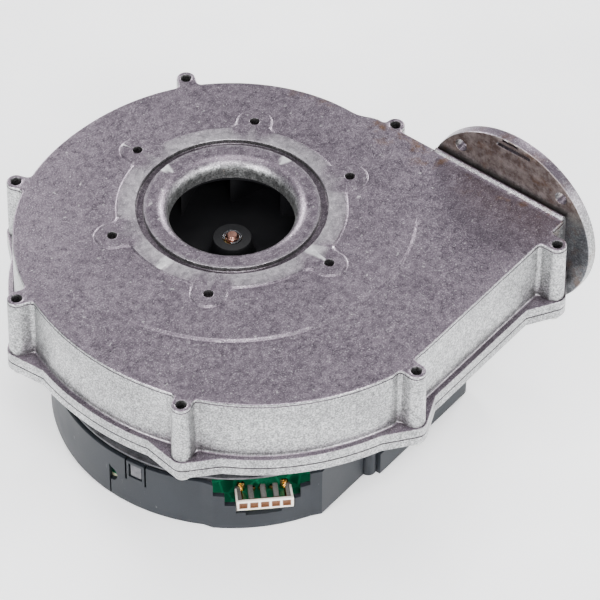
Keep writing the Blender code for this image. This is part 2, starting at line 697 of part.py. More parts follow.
def motor_cover():
    body = plate("motor_cover", [cover_outline(0, False)], 0, COVER_HEIGHT, BLACK)
    shelf = COVER_WING_HEIGHT
    join(body, plate("cover_wing", [cover_outline(0, True)], 0, shelf))
    cut(body, plate("cover_space", [cover_outline(COVER_WALL, False)], COVER_WALL, COVER_HEIGHT + 4))
    cut(body, plate("wing_space", [cover_outline(COVER_WALL, True)], COVER_WALL, shelf - COVER_WALL))
    sill = 12.6
    wide = block("plug_window", (55.0, -20.1, sill), (85.0, 17.7, COVER_HEIGHT + 4))
    mouth = block("plug_mouth", (55.0, -15.7, BOARD_Z[0] - GAP), (85.0, 13.9, sill + 1))
    slit = block("plug_slit", (60.0, -7.0, 4.6), (85.0, 7.0, 6.2))
    cut(body, header_frame(wide), header_frame(mouth), header_frame(slit))
    for k, angle in enumerate(LATCH_ANGLES):
        for side in (-1, 1):
            left, right = side * LATCH_GAP - 0.6, side * LATCH_GAP + 0.6
            foot, top = LATCH_GAP_FOOT, COVER_HEIGHT + 3
            gap = block(f"latch_gap_{k}_{side}", (60, left, foot), (80, right, top))
            gap.rotation_euler.z = math.radians(angle)
            cut(body, gap)
        eye = block(f"latch_eye_{k}", (60, -LATCH_EYE, 21.6), (80, LATCH_EYE, 24.0))
        eye.rotation_euler.z = math.radians(angle)
        cut(body, eye)
    for k, angle in enumerate(PILLAR_ANGLES):
        at = polar(PILLAR_CIRCLE, angle)
        join(body, rod(f"board_pillar_{k}", 3.4, COVER_WALL - 0.5, BOARD_Z[0] - GAP, at, sides=10))
        cut(body, rod(f"board_pilot_{k}", 1.5, COVER_WALL + 0.5, BOARD_Z[0] + 2, at, sides=8))
    return body


def circuit_board():
    low, high = BOARD_Z
    edge = COVER_RADIUS - COVER_WALL - 0.6
    main = [*arc((0, 0), edge, -66, 212, 22), (-27.0, COVER_SIDE_Y + COVER_WALL + 0.8)]
    board = plate("circuit_board", [main], low, high, BOARD)
    tab = [(58.0, -15.2), (68.5, -15.2), (71.0, -13.8), (71.0, -12.6), (58.0, -12.6)]
    tab_two = [(58.0, 11.4), (71.0, 11.4), (71.0, 12.2), (68.5, 13.4), (58.0, 13.4)]
    floor = [(50.0, -13.0), (64.0, -13.0), (64.0, 12.0), (50.0, 12.0)]
    for k, shape in enumerate((tab, tab_two, floor)):
        join(board, header_frame(plate(f"board_tab_{k}", [shape], low, high)))
    for k, angle in enumerate(PILLAR_ANGLES):
        cut(board, rod(f"board_hole_{k}", 1.8, low - 2, high + 2, polar(PILLAR_CIRCLE, angle), sides=12))


def board_screws():
    seat = BOARD_Z[1] + GAP
    head = [(0, seat + 2.5), (1.8, seat + 2.5), (2.8, seat + 1.5), (2.8, seat), (1.2, seat)]
    point = [(1.2, 4.0), (0, 3.2)]
    for k, angle in enumerate(PILLAR_ANGLES, 1):
        turned(f"board_screw_{k}", head + point, STEEL, steps=8, at=polar(PILLAR_CIRCLE, angle))


def connector():
    depth, width, height = HEADER_SIZE
    low = BOARD_Z[1] + GAP
    back = HEADER_FACE - depth
    front = HEADER_FACE
    header = block("connector_header", (back, -width / 2, low), (front, width / 2, low + height), WHITE)
    header_frame(header)
    skin = 0.9
    pin_low, pin_high, pin_half = low + 1.9, low + 2.6, 0.35
    for k in range(1, HEADER_WAYS + 1):
        across = (k - (HEADER_WAYS + 1) / 2) * HEADER_PITCH
        left, right = across - 1.6, across + 1.6
        roof = low + height - skin
        cavity = block(f"header_way_{k}", (back + 1.2, left, low + skin), (front + 2, right, roof))
        left, right = across - 0.7, across + 0.7
        slot = block(f"header_slot_{k}", (back - 1, left, low - 1), (back + 2, right, low + 2.9))
        cut(header, header_frame(cavity), header_frame(slot))
        left, right = across - pin_half, across + pin_half
        pin = block(f"connector_pin_{k}", (back - 1.0, left, pin_low), (front - 2.0, right, pin_high), GOLD)
        tail = block(f"pin_tail_{k}", (back - 1.7, left, low), (back - 0.9, right, pin_high))
        header_frame(pin)
        join(pin, header_frame(tail))


def components():
    low = BOARD_Z[1] + GAP
    can = 6.0
    top = [(0, low + 13), (can - 0.6, low + 13), (can, low + 12.3)]
    crimp = [(can, low + 2.2), (can - 0.4, low + 1.8), (can, low + 1.4), (can, low), (0, low)]
    for k, at in enumerate(((28.0, 42.0), (12.5, 46.0)), 1):
        turned(f"smoothing_capacitor_{k}", top + crimp, CAN, steps=12, at=at)
    ring("filter_choke", 4.0, 9.0, low + 0.2, low + 6.5, FERRITE, steps=12, at=(-20.0, 44.0))
    block("driver_chip", (-40.0, -8.0, low), (-28.0, 4.0, low + 2.0), IMPELLER)
    block("hall_sensor", (30.5, -2.0, low), (33.5, 2.0, low + 3.0), IMPELLER)


# ---------------------------------------------------------------- assembly
volute_housing()
back_plate()
housing_seal()
housing_screws()
motor_flange()
flange_screws()
stator()
for number in range(1, TEETH + 1):
    coil(number)
bearing("lower", BEARING_Z[0])
bearing("upper", BEARING_Z[1])
rotor()
impeller()
motor_cover()
circuit_board()
board_screws()
connector()
components()
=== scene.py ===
"""The looks of the combustion fan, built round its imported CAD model.

Lengths are in millimetres in the CAD frame: +Z runs up the fan's axis to the inlet and +X out of
the outlet. The drawing helpers turn them into metres.
"""

import json
import math

import bmesh
import bpy
import numpy as np
from mathutils import Matrix, Vector
from mathutils.geometry import delaunay_2d_cdt


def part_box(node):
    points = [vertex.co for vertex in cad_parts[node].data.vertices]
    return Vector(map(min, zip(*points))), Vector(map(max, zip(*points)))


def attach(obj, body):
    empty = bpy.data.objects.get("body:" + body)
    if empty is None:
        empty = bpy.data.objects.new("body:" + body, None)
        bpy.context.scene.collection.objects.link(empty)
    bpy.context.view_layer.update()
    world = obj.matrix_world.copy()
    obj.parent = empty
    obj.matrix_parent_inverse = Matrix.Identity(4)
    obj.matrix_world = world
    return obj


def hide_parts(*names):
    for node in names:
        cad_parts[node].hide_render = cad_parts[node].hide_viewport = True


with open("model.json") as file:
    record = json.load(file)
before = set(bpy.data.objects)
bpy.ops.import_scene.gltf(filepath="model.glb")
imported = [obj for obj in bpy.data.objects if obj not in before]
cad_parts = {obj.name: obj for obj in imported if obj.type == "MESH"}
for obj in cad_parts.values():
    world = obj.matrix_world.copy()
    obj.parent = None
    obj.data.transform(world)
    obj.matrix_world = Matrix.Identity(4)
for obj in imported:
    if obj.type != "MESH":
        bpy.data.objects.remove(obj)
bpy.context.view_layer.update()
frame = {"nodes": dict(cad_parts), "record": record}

# ---------------------------------------------------------------- sizes, mm
MM = 0.001


def low(node):
    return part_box(node)[0] / MM


def high(node):
    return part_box(node)[1] / MM


def middle(node):
    return (low(node) + high(node)) / 2


def mount(name):
    return Vector(next(m["pos_m"] for m in frame["record"]["mounts"] if m["name"] == name)) / MM


POSTS = [middle(f"housing_screw_{k}").xy for k in range(1, 8)]
PARTING_Z = high("back_plate").z + 0.3
RIM_Z = PARTING_Z + 4.4
PLATEAU_Z = mount("inlet_face").z
TOP_Z = PLATEAU_Z - 0.6
CEILING_Z = TOP_Z - 3.0
FLOOR_Z = high("back_plate").z
PLATE_FOOT_Z = FLOOR_Z - 3.7

SCROLL_FIRST = -45  # the first station's angle; the others follow every 45 degrees
SCROLL_RADII = (71.6, 71.0, 70.6, 73.1, 83.5, 92.6, 104.2, 107.4, 107.4)
SCROLL_START = -2
SCROLL_END = 253
DUCT_START_X = -14.0
DUCT_Y = -103.0
DUCT_X = 74.0
WALL = 3.0
RIM_OUT = 2.8
POST_RADIUS = 3.7
POST_HOLE = 2.0
POST_CLEAR = 6.4  # half of the stretch of wall that a post takes up
EAR_RADIUS = 4.85
EAR_REACH = 14.0

STEP_RADIUS = 70.0  # of the shallow step in the top
INLET_HOLES = 6
INLET_CIRCLE = 48.0
INLET_PHASE = 28.7
PLATEAU_RADIUS = 43.7
LOBE_RADIUS = 6.5
GROOVE = (33.8, 36.8, 2.0)
LIP_RADIUS = 29.4
THROAT_RADIUS = 24.2
BELL_FOOT_Z = 93.8

FLANGE_BACK = 75.2
FLANGE_FRONT = high("volute_housing").x
FLANGE_AT = mount("outlet_face").y
FLANGE_RADIUS = 38.4
FLANGE_CIRCLE = 33.4  # radius that the flange's four holes are on
FLANGE_HOLE = 2.6
FLANGE_Z = high("volute_housing").z - FLANGE_RADIUS
OUTLET_Y = (-100.0, -51.0)
OUTLET_Z = (70.0, 98.6)

POT_RADIUS = 58.0
POT_FOOT_Z = low("back_plate").z - 2.1
POT_RIM_RADIUS = 67.0
POT_RIBS = 8
WINDOW_ANGLES = (90, 210, 330)
SHAFT_BORE = 8.3  # radius of the bearing tube and of the floor's bore over it

COVER_RADIUS = 72.8
COVER_HEIGHT = high("motor_cover").z
COVER_BULGE_RADIUS = 74.0
COVER_BULGE = (-147, -117)
COVER_SIDE_Y = -68.6
COVER_WING_Y = low("motor_cover").y
COVER_WING_X = 59.5
COVER_WING_HEIGHT = 11.5
COVER_WALL = 2.0
LATCH_ANGLES = (8, 98, 188)
LATCH_Z = (16.4, 23.6)  # the eye that each lug clips into
LATCH_EYE = 3.0
LATCH_LUG = 2.5
LATCH_GAP = 4.4

BOARD_Z = (low("circuit_board").z, high("circuit_board").z)
HEADER_ANGLE = -135
HEADER_FACE = 73.0
HEADER_SHIFT = 4.9
HEADER_PITCH = 4.2
HEADER_HALF = 11.1
HEADER_TALL = 5.0
HEADER_FOOT = high("circuit_board").z + 0.3
HEADER_BACK = HEADER_FACE - 9.0
FRAME_BACK = HEADER_FACE - 1.3  # the back of the header's front frame
RIB_PITCH = 4.85
WAYS = range(-2, 3)
WINDOW_WIDE = (-20.1, 17.7)  # the cover's opening for the plug, from side to side


# ---------------------------------------------------------------- plane outlines
def spoke(radius, degrees):
    angle = math.radians(degrees)
    return np.array([radius * math.cos(angle), radius * math.sin(angle)])


HEADER_AT = spoke(HEADER_SHIFT, HEADER_ANGLE + 90)


def arc(centre, radius, start, end, count):
    """Points along an arc, from one angle to another in degrees."""
    return [np.array(centre) + spoke(radius, a) for a in np.linspace(start, end, count)]


def circle(radius, count, centre=(0.0, 0.0)):
    return np.array(arc(centre, radius, 0, 360 - 360 / count, count))


def span(start, end, count):
    """That many steps from start towards end, without end."""
    start, end = np.array(start, float), np.array(end, float)
    return [start + (end - start) * i / count for i in range(count)]


def line(start, end, step=1.0):
    """Even steps from start towards end, without end."""
    length = np.linalg.norm(np.array(end, float) - np.array(start, float))
    return span(start, end, max(int(length / step), 1))


def outward(contour):
    """The outward normals of an anticlockwise closed contour."""
    run = np.roll(contour, -1, axis=0) - np.roll(contour, 1, axis=0)
    run /= np.linalg.norm(run, axis=1)[:, None]
    return np.stack([run[:, 1], -run[:, 0]], axis=1)


def grown(contour, offset):
    return contour + outward(contour) * offset


def scroll_radius(degrees):
    """The outside of the scroll wall, eased from one 45 degree station to the next."""
    place = (degrees - SCROLL_FIRST) / 45
    index = min(max(int(place), 1), len(SCROLL_RADII) - 3)
    t = place - index
    before, here, there, after = SCROLL_RADII[index - 1 : index + 3]
    return 0.5 * (
        2 * here
        + (there - before) * t
        + (2 * before - 5 * here + 4 * there - after) * t * t
        + (3 * here - before - 3 * there + after) * t * t * t
    )


def scroll_line():
    """The scroll wall's outside: the spiral, the straight duct wall and the outlet end."""
    angles = np.arange(SCROLL_START, SCROLL_END, 0.5)
    spiral = [spoke(scroll_radius(a), a) for a in angles]
    bend = 1.2
    corner = arc((DUCT_X - bend, DUCT_Y + bend), bend, -90, 0, 5)
    duct = line(spiral[-1], (DUCT_START_X, DUCT_Y)) + line((DUCT_START_X, DUCT_Y), corner[0])
    turn = np.array([(DUCT_X, -14.5), (DUCT_X, -10.0), spiral[0] - (0.1, 5.5), spiral[0]])
    end = line(corner[-1], turn[0])
    weights = [((1 - t) ** 3, 3 * t * (1 - t) ** 2, 3 * t * t * (1 - t), t**3) for t in np.arange(16) / 16]
    shoulder = [np.array(weight) @ turn for weight in weights]
    return np.array(spiral[:-1] + duct + corner[:-1] + end + shoulder)


class Lugs:
    """A closed outline that round bosses stand out from, or that pointed ears run out along."""

    def __init__(self, base, centres, clear, ahead=None):
        self.base = base
        self.normals = outward(base)
        self.clear = clear
        steps = np.linalg.norm(np.roll(base, -1, axis=0) - base, axis=1)
        self.along = np.concatenate([[0.0], np.cumsum(steps)])
        self.total = self.along[-1]
        self.feet = []
        for k, centre in enumerate(centres):
            centre = np.array(centre)
            index = int(np.argmin(np.linalg.norm(base - centre, axis=1)))
            normal = self.normals[index]
            reach = float((centre - base[index]) @ normal)
            origin = centre - normal * reach
            ends = [base[self.nearest(index, way * clear)] - origin for way in (-1, 1)]
            drop = -float(sum(e @ normal for e in ends)) / clear**2
            self.feet.append((index, origin, normal, reach, drop, ahead[k] if ahead else EAR_REACH))

    def nearest(self, index, step):
        place = (self.along[index] + step) % self.total
        return int(np.argmin(np.abs(self.along[:-1] - place)))

    def local(self, foot, across, out):
        """A point by its distance along the outline, the way it runs, and its distance out of it."""
        _, origin, normal, *_ = foot
        return origin + across * np.array([-normal[1], normal[0]]) + out * normal

    def walk(self, spans, insert, offset):
        """The outline with what is within each foot's span replaced by insert(foot)."""
        contour = []
        placed_feet = set()
        for index, (point, normal) in enumerate(zip(self.base, self.normals)):
            near = None
            for k, (foot, (behind, ahead)) in enumerate(zip(self.feet, spans)):
                gap = self.along[index] - self.along[foot[0]]
                gap = (gap + self.total / 2) % self.total - self.total / 2
                if -behind < gap < ahead:
                    near = k
            if near is None:
                contour.append(point + normal * offset)
            elif near not in placed_feet:
                placed_feet.add(near)
                contour.extend(insert(self.feet[near]))
        return np.array(contour)

    def bosses(self, offset, radius, fillet):
        """Bosses of a radius round each centre, on straight sides and fillets."""

        def insert(foot):
            _, _, _, reach, drop, _ = foot
            bend = max(min(fillet, reach - offset - 0.1), 0.3)
            local = arc((-radius - bend, offset + bend), bend, -90, 0, 7)
            local += arc((0, reach), radius, 180, 0, 29)
            local += arc((radius + bend, offset + bend), bend, 180, 270, 7)
            points = []
            for across, out in local:
                fade = 1 - min(max((out - offset) / bend, 0.0), 1.0)
                points.append(self.local(foot, across, out - fade * across**2 * drop / 2))
            return points

        return self.walk([(self.clear, self.clear)] * len(self.feet), insert, offset)

    def ears(self, offset, radius):
        """Pointed ears round each centre that run out along the outline."""

        def insert(foot):
            index, _, _, reach, _, ahead = foot
            centre = self.local(foot, 0.0, reach)
            ends, touches = [], []
            for step, way in ((-EAR_REACH, 1), (ahead, -1)):
                k = self.nearest(index, step)
                end = self.base[k] + self.normals[k] * offset
                arm = end - centre
                turn = math.atan2(arm[1], arm[0]) + way * math.acos(radius / np.linalg.norm(arm))
                ends.append(end)
                touches.append(math.degrees(turn))
            sweep = (touches[1] - touches[0]) % 360
            tip = arc(centre, radius, touches[0], touches[0] + sweep, 17)
            return span(ends[0], tip[0], 8) + tip + span(tip[-1], ends[1], 8)[1:] + [ends[1]]

        return self.walk([(EAR_REACH + 0.3, foot[5] + 0.3) for foot in self.feet], insert, offset)


# ---------------------------------------------------------------- meshes from outlines
def inside(points, polygon):
    """Which of the points are inside a closed polygon."""
    result = np.zeros(len(points), bool)
    for (x0, y0), (x1, y1) in zip(polygon, np.roll(polygon, -1, axis=0)):
        if y0 == y1:
            continue
        crosses = (points[:, 1] > y0) != (points[:, 1] > y1)
        result ^= crosses & (points[:, 0] < (x1 - x0) * (points[:, 1] - y0) / (y1 - y0) + x0)
    return result


def placed(name, mesh, sharp=35):
    mesh.shade_smooth()
    mesh.set_sharp_from_angle(angle=math.radians(sharp))
    made = bpy.data.objects.new(name, mesh)
    bpy.context.scene.collection.objects.link(made)
    return made


class Shell:
    """Collects rings of points and the faces between them, then becomes one mesh object."""

    def __init__(self):
        self.points = []
        self.faces = []

    def ring(self, contour, z):
        """Adds a contour at a height, or at one height for each of its points."""
        first = len(self.points)
        heights = np.broadcast_to(z, (len(contour),))
        self.points.extend((x, y, h) for (x, y), h in zip(contour, heights))
        return list(range(first, len(self.points)))

    def bridge(self, *rings):
        for a, b in zip(rings, rings[1:]):
            for i in range(len(a)):
                j = (i + 1) % len(a)
                self.faces.append((a[i], a[j], b[j], b[i]))

    def stack(self, levels, draw):
        """Bridged rings, one for each (offset, z), drawn by draw(offset); gives first and last."""
        rings = [self.ring(draw(offset), z) for offset, z in levels]
        self.bridge(*rings)
        return rings[0], rings[-1]

    def fill(self, outside, holes=()):
        """Fills the plane between an outer ring and the rings of its holes."""
        rings = [outside, *holes]
        ids = [i for ring in rings for i in ring]
        flat = [Vector(self.points[i][:2]) for i in ids]
        edges = []
        start = 0
        for ring in rings:
            count = len(ring)
            edges += [(start + i, start + (i + 1) % count) for i in range(count)]
            start += count
        made, _, triangles, origins, _, _ = delaunay_2d_cdt(flat, edges, [], 1, 1e-6)
        centres = np.array([[sum(made[c][axis] for c in t) / 3 for axis in (0, 1)] for t in triangles])
        keep = inside(centres, np.array([self.points[i][:2] for i in outside]))
        for ring in holes:
            keep &= ~inside(centres, np.array([self.points[i][:2] for i in ring]))
        for triangle, kept in zip(triangles, keep):
            if kept:
                self.faces.append(tuple(ids[origins[c][0]] for c in triangle))

    def made(self, name, sharp=35, matrix=None):
        mesh = bpy.data.meshes.new(name)
        mesh.from_pydata([Vector(p) * MM for p in self.points], [], self.faces)
        shape = bmesh.new()
        shape.from_mesh(mesh)
        bmesh.ops.remove_doubles(shape, verts=shape.verts, dist=1e-7)
        if matrix is not None:
            shape.transform(matrix)
        bmesh.ops.recalc_face_normals(shape, faces=shape.faces)
        shape.to_mesh(mesh)
        shape.free()
        return placed(name, mesh, sharp)


def applied(piece, sharp=35):
    """Replaces a piece's mesh with what its modifiers make of it."""
    bpy.context.view_layer.update()
    graph = bpy.context.evaluated_depsgraph_get()
    mesh = bpy.data.meshes.new_from_object(piece.evaluated_get(graph))
    piece.modifiers.clear()
    piece.data = mesh
    mesh.shade_smooth()
    mesh.set_sharp_from_angle(angle=math.radians(sharp))
    return piece


def carve(piece, *tools, operation="DIFFERENCE"):
    """Cuts tools out of a piece, or joins them to it, and removes them."""
    for tool in tools:
        step = piece.modifiers.new(tool.name, "BOOLEAN")
        step.operation = operation
        step.solver = "EXACT"
        step.object = tool
    applied(piece)
    for tool in tools:
        bpy.data.objects.remove(tool, do_unlink=True)
    return piece


def softened(piece, width, segments=2, angle=30):
    """Rounds a piece's sharp edges."""
    bevel = piece.modifiers.new("edges", "BEVEL")
    bevel.width = width * MM
    bevel.segments = segments
    bevel.limit_method = "ANGLE"
    bevel.angle_limit = math.radians(angle)
    return applied(piece, 40)


def evened(piece):
    """Lets large faces set the shading at their edges."""
    weights = piece.modifiers.new("shading", "WEIGHTED_NORMAL")
    weights.keep_sharp = True
    return piece


def joined(name, *pieces, sharp=35):
    """One object out of several, in the order given."""
    shape = bmesh.new()
    for piece in pieces:
        shape.from_mesh(piece.data)
    mesh = bpy.data.meshes.new(name)
    shape.to_mesh(mesh)
    shape.free()
    for piece in pieces:
        bpy.data.objects.remove(piece, do_unlink=True)
    return placed(name, mesh, sharp)


def edge_levels(z0, z1, bevel):
    """Offsets and heights of a slab's side, with its rims rounded."""
    if not bevel:
        return [(0, z0), (0, z1)]
    rise = [(-bevel, 0), (-0.3 * bevel, 0.3 * bevel), (0, bevel)]
    return [(o, z0 + h) for o, h in rise] + [(o, z1 - h) for o, h in rise[::-1]]


def slab(name, contour, z0, z1, bevel=0.0, holes=(), hole_bevel=0.0, matrix=None):
    """A flat outline with holes, as a solid between two heights with rounded rims."""
    shell = Shell()
    contour = np.array(contour, float)
    foot, top = shell.stack(edge_levels(z0, z1, bevel), lambda o: grown(contour, o))
    feet, tops = [], []
    for hole in holes:
        hole = np.array(hole, float)
        levels = edge_levels(z0, z1, hole_bevel)
        a, b = shell.stack(levels, lambda o, hole=hole: grown(hole, -o))
        feet.append(a)
        tops.append(b)
    shell.fill(foot, feet)
    shell.fill(top, tops)
    return shell.made(name, matrix=matrix)


def block(name, corner, opposite, bevel=0.0, turn=0.0, shift=(0.0, 0.0)):
    """A box between two corners, turned about the fan's axis in degrees and then shifted."""
    shape = bmesh.new()
    bmesh.ops.create_cube(shape, size=1.0)
    size = Vector(opposite) - Vector(corner)
    bmesh.ops.scale(shape, vec=size, verts=shape.verts)
    bmesh.ops.translate(shape, vec=(Vector(opposite) + Vector(corner)) / 2, verts=shape.verts)
    if bevel:
        bmesh.ops.bevel(shape, geom=shape.edges[:], offset=bevel, segments=2, profile=0.5, affect="EDGES")
    shape.transform(Matrix.Rotation(math.radians(turn), 4, "Z"))
    shape.transform(Matrix.Translation((*shift, 0)))
    bmesh.ops.scale(shape, vec=(MM, MM, MM), verts=shape.verts)
    mesh = bpy.data.meshes.new(name)
    shape.to_mesh(mesh)
    shape.free()
    return placed(name, mesh)


def turned(name, profile, count=96, at=(0.0, 0.0), sharp=35, matrix=None):
    """A (radius, z) profile turned about an upright axis; it closes on itself off the axis."""
    shell = Shell()
    rings = []
    for radius, z in profile:
        if radius:
            rings.append(shell.ring(circle(radius, count, at), z))
        else:
            rings.append(shell.ring([np.array(at)], z))
    closing = [rings[0]] if profile[0][0] else []
    for a, b in zip(rings, rings[1:] + closing):
        for i in range(count):
            j = (i + 1) % count
            quad = (a[i % len(a)], a[j % len(a)], b[j % len(b)], b[i % len(b)])
            corners = tuple(dict.fromkeys(quad))
            if len(corners) > 2:
                shell.faces.append(corners)
    return shell.made(name, sharp, matrix)


def finished(piece, look, body, slot, *nodes):
    """Gives a piece its material and its body, and hides the CAD nodes it stands for; its slot is not used.
    """
    piece.data.materials.clear()
    piece.data.materials.append(look)
    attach(piece, body)
    if nodes:
        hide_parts(*nodes)
    return piece


FACING_X = Matrix(((0, 0, 1, 0), (1, 0, 0, 0), (0, 1, 0, 0), (0, 0, 0, 1)))
ALONG_Y = Matrix(((1, 0, 0, 0), (0, 0, 1, 0), (0, 1, 0, 0), (0, 0, 0, 1)))


# ---------------------------------------------------------------- the scroll casting
SCROLL = scroll_line()
EARS_AHEAD = [min(EAR_REACH, DUCT_X - 1.5 - x) if y < DUCT_Y else EAR_REACH for x, y in POSTS]
POST_LUGS = Lugs(SCROLL, POSTS, POST_CLEAR)
RIM_LUGS = Lugs(SCROLL, POSTS, POST_CLEAR, EARS_AHEAD)


def scroll_cavity():
    """The air space's outline, from the tongue round the spiral and along the duct."""
    spiral = [spoke(scroll_radius(a) - WALL, a) for a in np.arange(-10, SCROLL_END, 1.0)]
    side = DUCT_Y + WALL
    duct = [(DUCT_START_X, side), (DUCT_X - WALL, side), (DUCT_X - WALL, OUTLET_Y[1])]
    tongue = arc((60.5, -35.0), 2.0, -60, -190, 6)
    return np.array([*spiral, *duct, *tongue])


def crescent(shell):
    """The shallow step over the widening scroll; gives the ring round it.

    Each row is a distance out from the step, then a share of the way to the far edge, and a depth.
    """
    angles = np.linspace(165, 305, 71)
    steps = [(0.0, 0.0, 0.0), (0.35, 0.0, 0.16), (1.0, 0.0, 0.8), (1.5, 0.0, 0.92)]
    steps += [(1.5, 0.4, 0.62), (1.5, 1.0, 0.0)]
    rows = []
    for out, share, depth in steps:
        contour = []
        for a in angles:
            near, far = STEP_RADIUS + out, min(max(scroll_radius(a) - 2.5, 79.0), 95.0)
            contour.append(spoke(near + (far - near) * share, a))
        fade = np.sin(np.pi * np.clip((angles - angles[0]) / (angles[-1] - angles[0]), 0, 1)) ** 0.6
        rows.append(shell.ring(contour, TOP_Z - depth * fade))
    for a, b in zip(rows, rows[1:]):
        for i in range(len(a) - 1):
            shell.faces.append((a[i], a[i + 1], b[i + 1], b[i]))
    starts, ends = [row[0] for row in rows], [row[-1] for row in rows]
    return rows[0] + ends[1:-1] + rows[-1][::-1] + starts[-2:0:-1]


def blind_hole(shell, at, radius, z, depth, mouth, sides=32):
    """A chamfered blind hole down from a face; gives its ring in that face."""
    levels = [(radius + mouth, z), (radius + 0.3 * mouth, z - 0.25 * mouth)]
    levels += [(radius, z - mouth), (radius, z - depth)]
    ring, floor = shell.stack(levels, lambda r: circle(r, sides, at))
    shell.fill(floor)
    return ring


def inlet_top(shell):
    """The raised face with its six lobes, the seal groove and the rolled throat."""
    seats = [spoke(INLET_CIRCLE, INLET_PHASE + 360 / INLET_HOLES * k) for k in range(INLET_HOLES)]
    pads = Lugs(circle(PLATEAU_RADIUS, 360), seats, LOBE_RADIUS + 2.6)
    levels = [(0.9, TOP_Z), (0.5, TOP_Z + 0.06), (0.22, TOP_Z + 0.25)]
    levels += [(0.0, PLATEAU_Z - 0.18), (-0.25, PLATEAU_Z)]
    foot, top = shell.stack(levels, lambda o: pads.bosses(o, LOBE_RADIUS + o, 2.2))
    holes = [blind_hole(shell, seat, 1.9, PLATEAU_Z, 9.0, 0.4) for seat in seats]
    inner, outer, depth = GROOVE
    floor = PLATEAU_Z - depth
    groove = [
        (outer + 0.2, PLATEAU_Z),
        (outer, PLATEAU_Z - 0.2),
        (outer - 0.1, floor + 0.25),
        (outer - 0.4, floor),
        (inner + 0.4, floor),
        (inner + 0.1, floor + 0.25),
        (inner, PLATEAU_Z - 0.15),
        (inner - 0.15, PLATEAU_Z),
    ]
    roll = LIP_RADIUS - THROAT_RADIUS
    lip = arc((LIP_RADIUS, PLATEAU_Z - roll), roll, 90, 180, 12)
    skirt = THROAT_RADIUS + 1.6
    throat = [(THROAT_RADIUS, BELL_FOOT_Z + 0.4), (THROAT_RADIUS + 0.4, BELL_FOOT_Z)]
    throat += [(skirt - 0.4, BELL_FOOT_Z), (skirt, BELL_FOOT_Z + 0.4), (skirt, CEILING_Z)]
    ring, ceiling = shell.stack([*groove, *lip, *throat], lambda r: circle(r, 160))
    shell.fill(top, [ring, *holes])
    return foot, ceiling


def scroll_shell():
    """The scroll's wall with its posts, its top, its rim with ears, and the air space inside."""
    shell = Shell()
    wall = [
        (-0.62, TOP_Z),
        (-0.38, TOP_Z - 0.07),
        (-0.14, TOP_Z - 0.26),
        (0.0, TOP_Z - 0.62),
        (0.0, TOP_Z - 1.0),
        (-0.28, TOP_Z - 1.18),
        (-0.28, TOP_Z - 1.42),
        (0.02, TOP_Z - 1.6),
        (0.35, RIM_Z + 0.9),
        (0.5, RIM_Z + 0.42),
        (0.85, RIM_Z + 0.1),
        (1.2, RIM_Z),
    ]
    rings = []
    for offset, z in wall:
        spread = min(offset, 0.36) + (0.04 if offset > 0.4 else 0)
        rings.append(shell.ring(POST_LUGS.bosses(offset, POST_RADIUS + spread, 1.8), z))
    shell.bridge(*rings)
    rim = [(-0.42, RIM_Z), (-0.13, RIM_Z - 0.12), (0.0, RIM_Z - 0.4)]
    rim += [(0.0, PARTING_Z + 0.4), (-0.13, PARTING_Z + 0.12), (-0.42, PARTING_Z)]
    ledge, foot = shell.stack(rim, lambda o: RIM_LUGS.ears(RIM_OUT + o, EAR_RADIUS + o))
    shell.fill(ledge, [rings[-1]])
    posts = [blind_hole(shell, post, POST_HOLE, TOP_Z, 12.0, 0.72) for post in POSTS]
    step = crescent(shell)
    raised, ceiling = inlet_top(shell)
    shell.fill(rings[0], [raised, step, *posts])
    low_edge, high_edge = shell.stack([(0, PARTING_Z), (0, CEILING_Z)], lambda o: scroll_cavity())
    shell.fill(foot, [low_edge])
    shell.fill(high_edge, [ceiling])
    return shell.made("scroll_casting", 32)


def rounded_box(y0, y1, z0, z1, bend):
    corners = ((y1 - bend, z1 - bend, 0), (y0 + bend, z1 - bend, 90), (y0 + bend, z0 + bend, 180))
    corners += ((y1 - bend, z0 + bend, 270),)
    return [p for y, z, start in corners for p in arc((y, z), bend, start, start + 90, 5)]


def outlet_flange():
    centre = (FLANGE_AT, FLANGE_Z)
    bolts = [circle(FLANGE_HOLE, 40, centre + spoke(FLANGE_CIRCLE, 45 + 90 * k)) for k in range(4)]
    slot_y, slot_z, slot_half, slot_round = FLANGE_AT - 0.6, FLANGE_Z + 34.4, 7.0, 0.8
    slot = arc((slot_y + slot_half, slot_z), slot_round, -90, 90, 9)
    slot += arc((slot_y - slot_half, slot_z), slot_round, 90, 270, 9)
    opening = rounded_box(*OUTLET_Y, *OUTLET_Z, 2.0)
    disc = slab(
        "outlet_flange", circle(FLANGE_RADIUS, 240, centre), FLANGE_BACK, FLANGE_FRONT, 0.55,
        [*bolts, slot, opening], 0.35, FACING_X,
    )
    near, far = (FLANGE_BACK - 1, slot_y - 2.0, slot_z + 2.3), (FLANGE_BACK + 0.9, slot_y + 5.2, slot_z + 3.4)
    return carve(disc, block("nick", near, far, 0.1))


def outlet_ridge():
    """The rounded ridge and gutter where the top plate meets the flange."""
    profile = [(70.4, TOP_Z - 1.2), (70.6, TOP_Z - 0.02), (71.6, TOP_Z + 0.04), (72.4, TOP_Z + 0.3)]
    profile += [(72.9, TOP_Z + 0.95)] + [tuple(p) for p in arc((73.5, TOP_Z + 1.05), 0.55, 165, 15, 8)]
    profile += [(74.2, TOP_Z + 0.5), (74.6, TOP_Z + 0.1), (75.6, TOP_Z + 0.05), (75.6, TOP_Z - 1.2)]
    return slab("outlet_ridge", profile[::-1], -102.6, -41.6, 0.0, matrix=ALONG_Y)


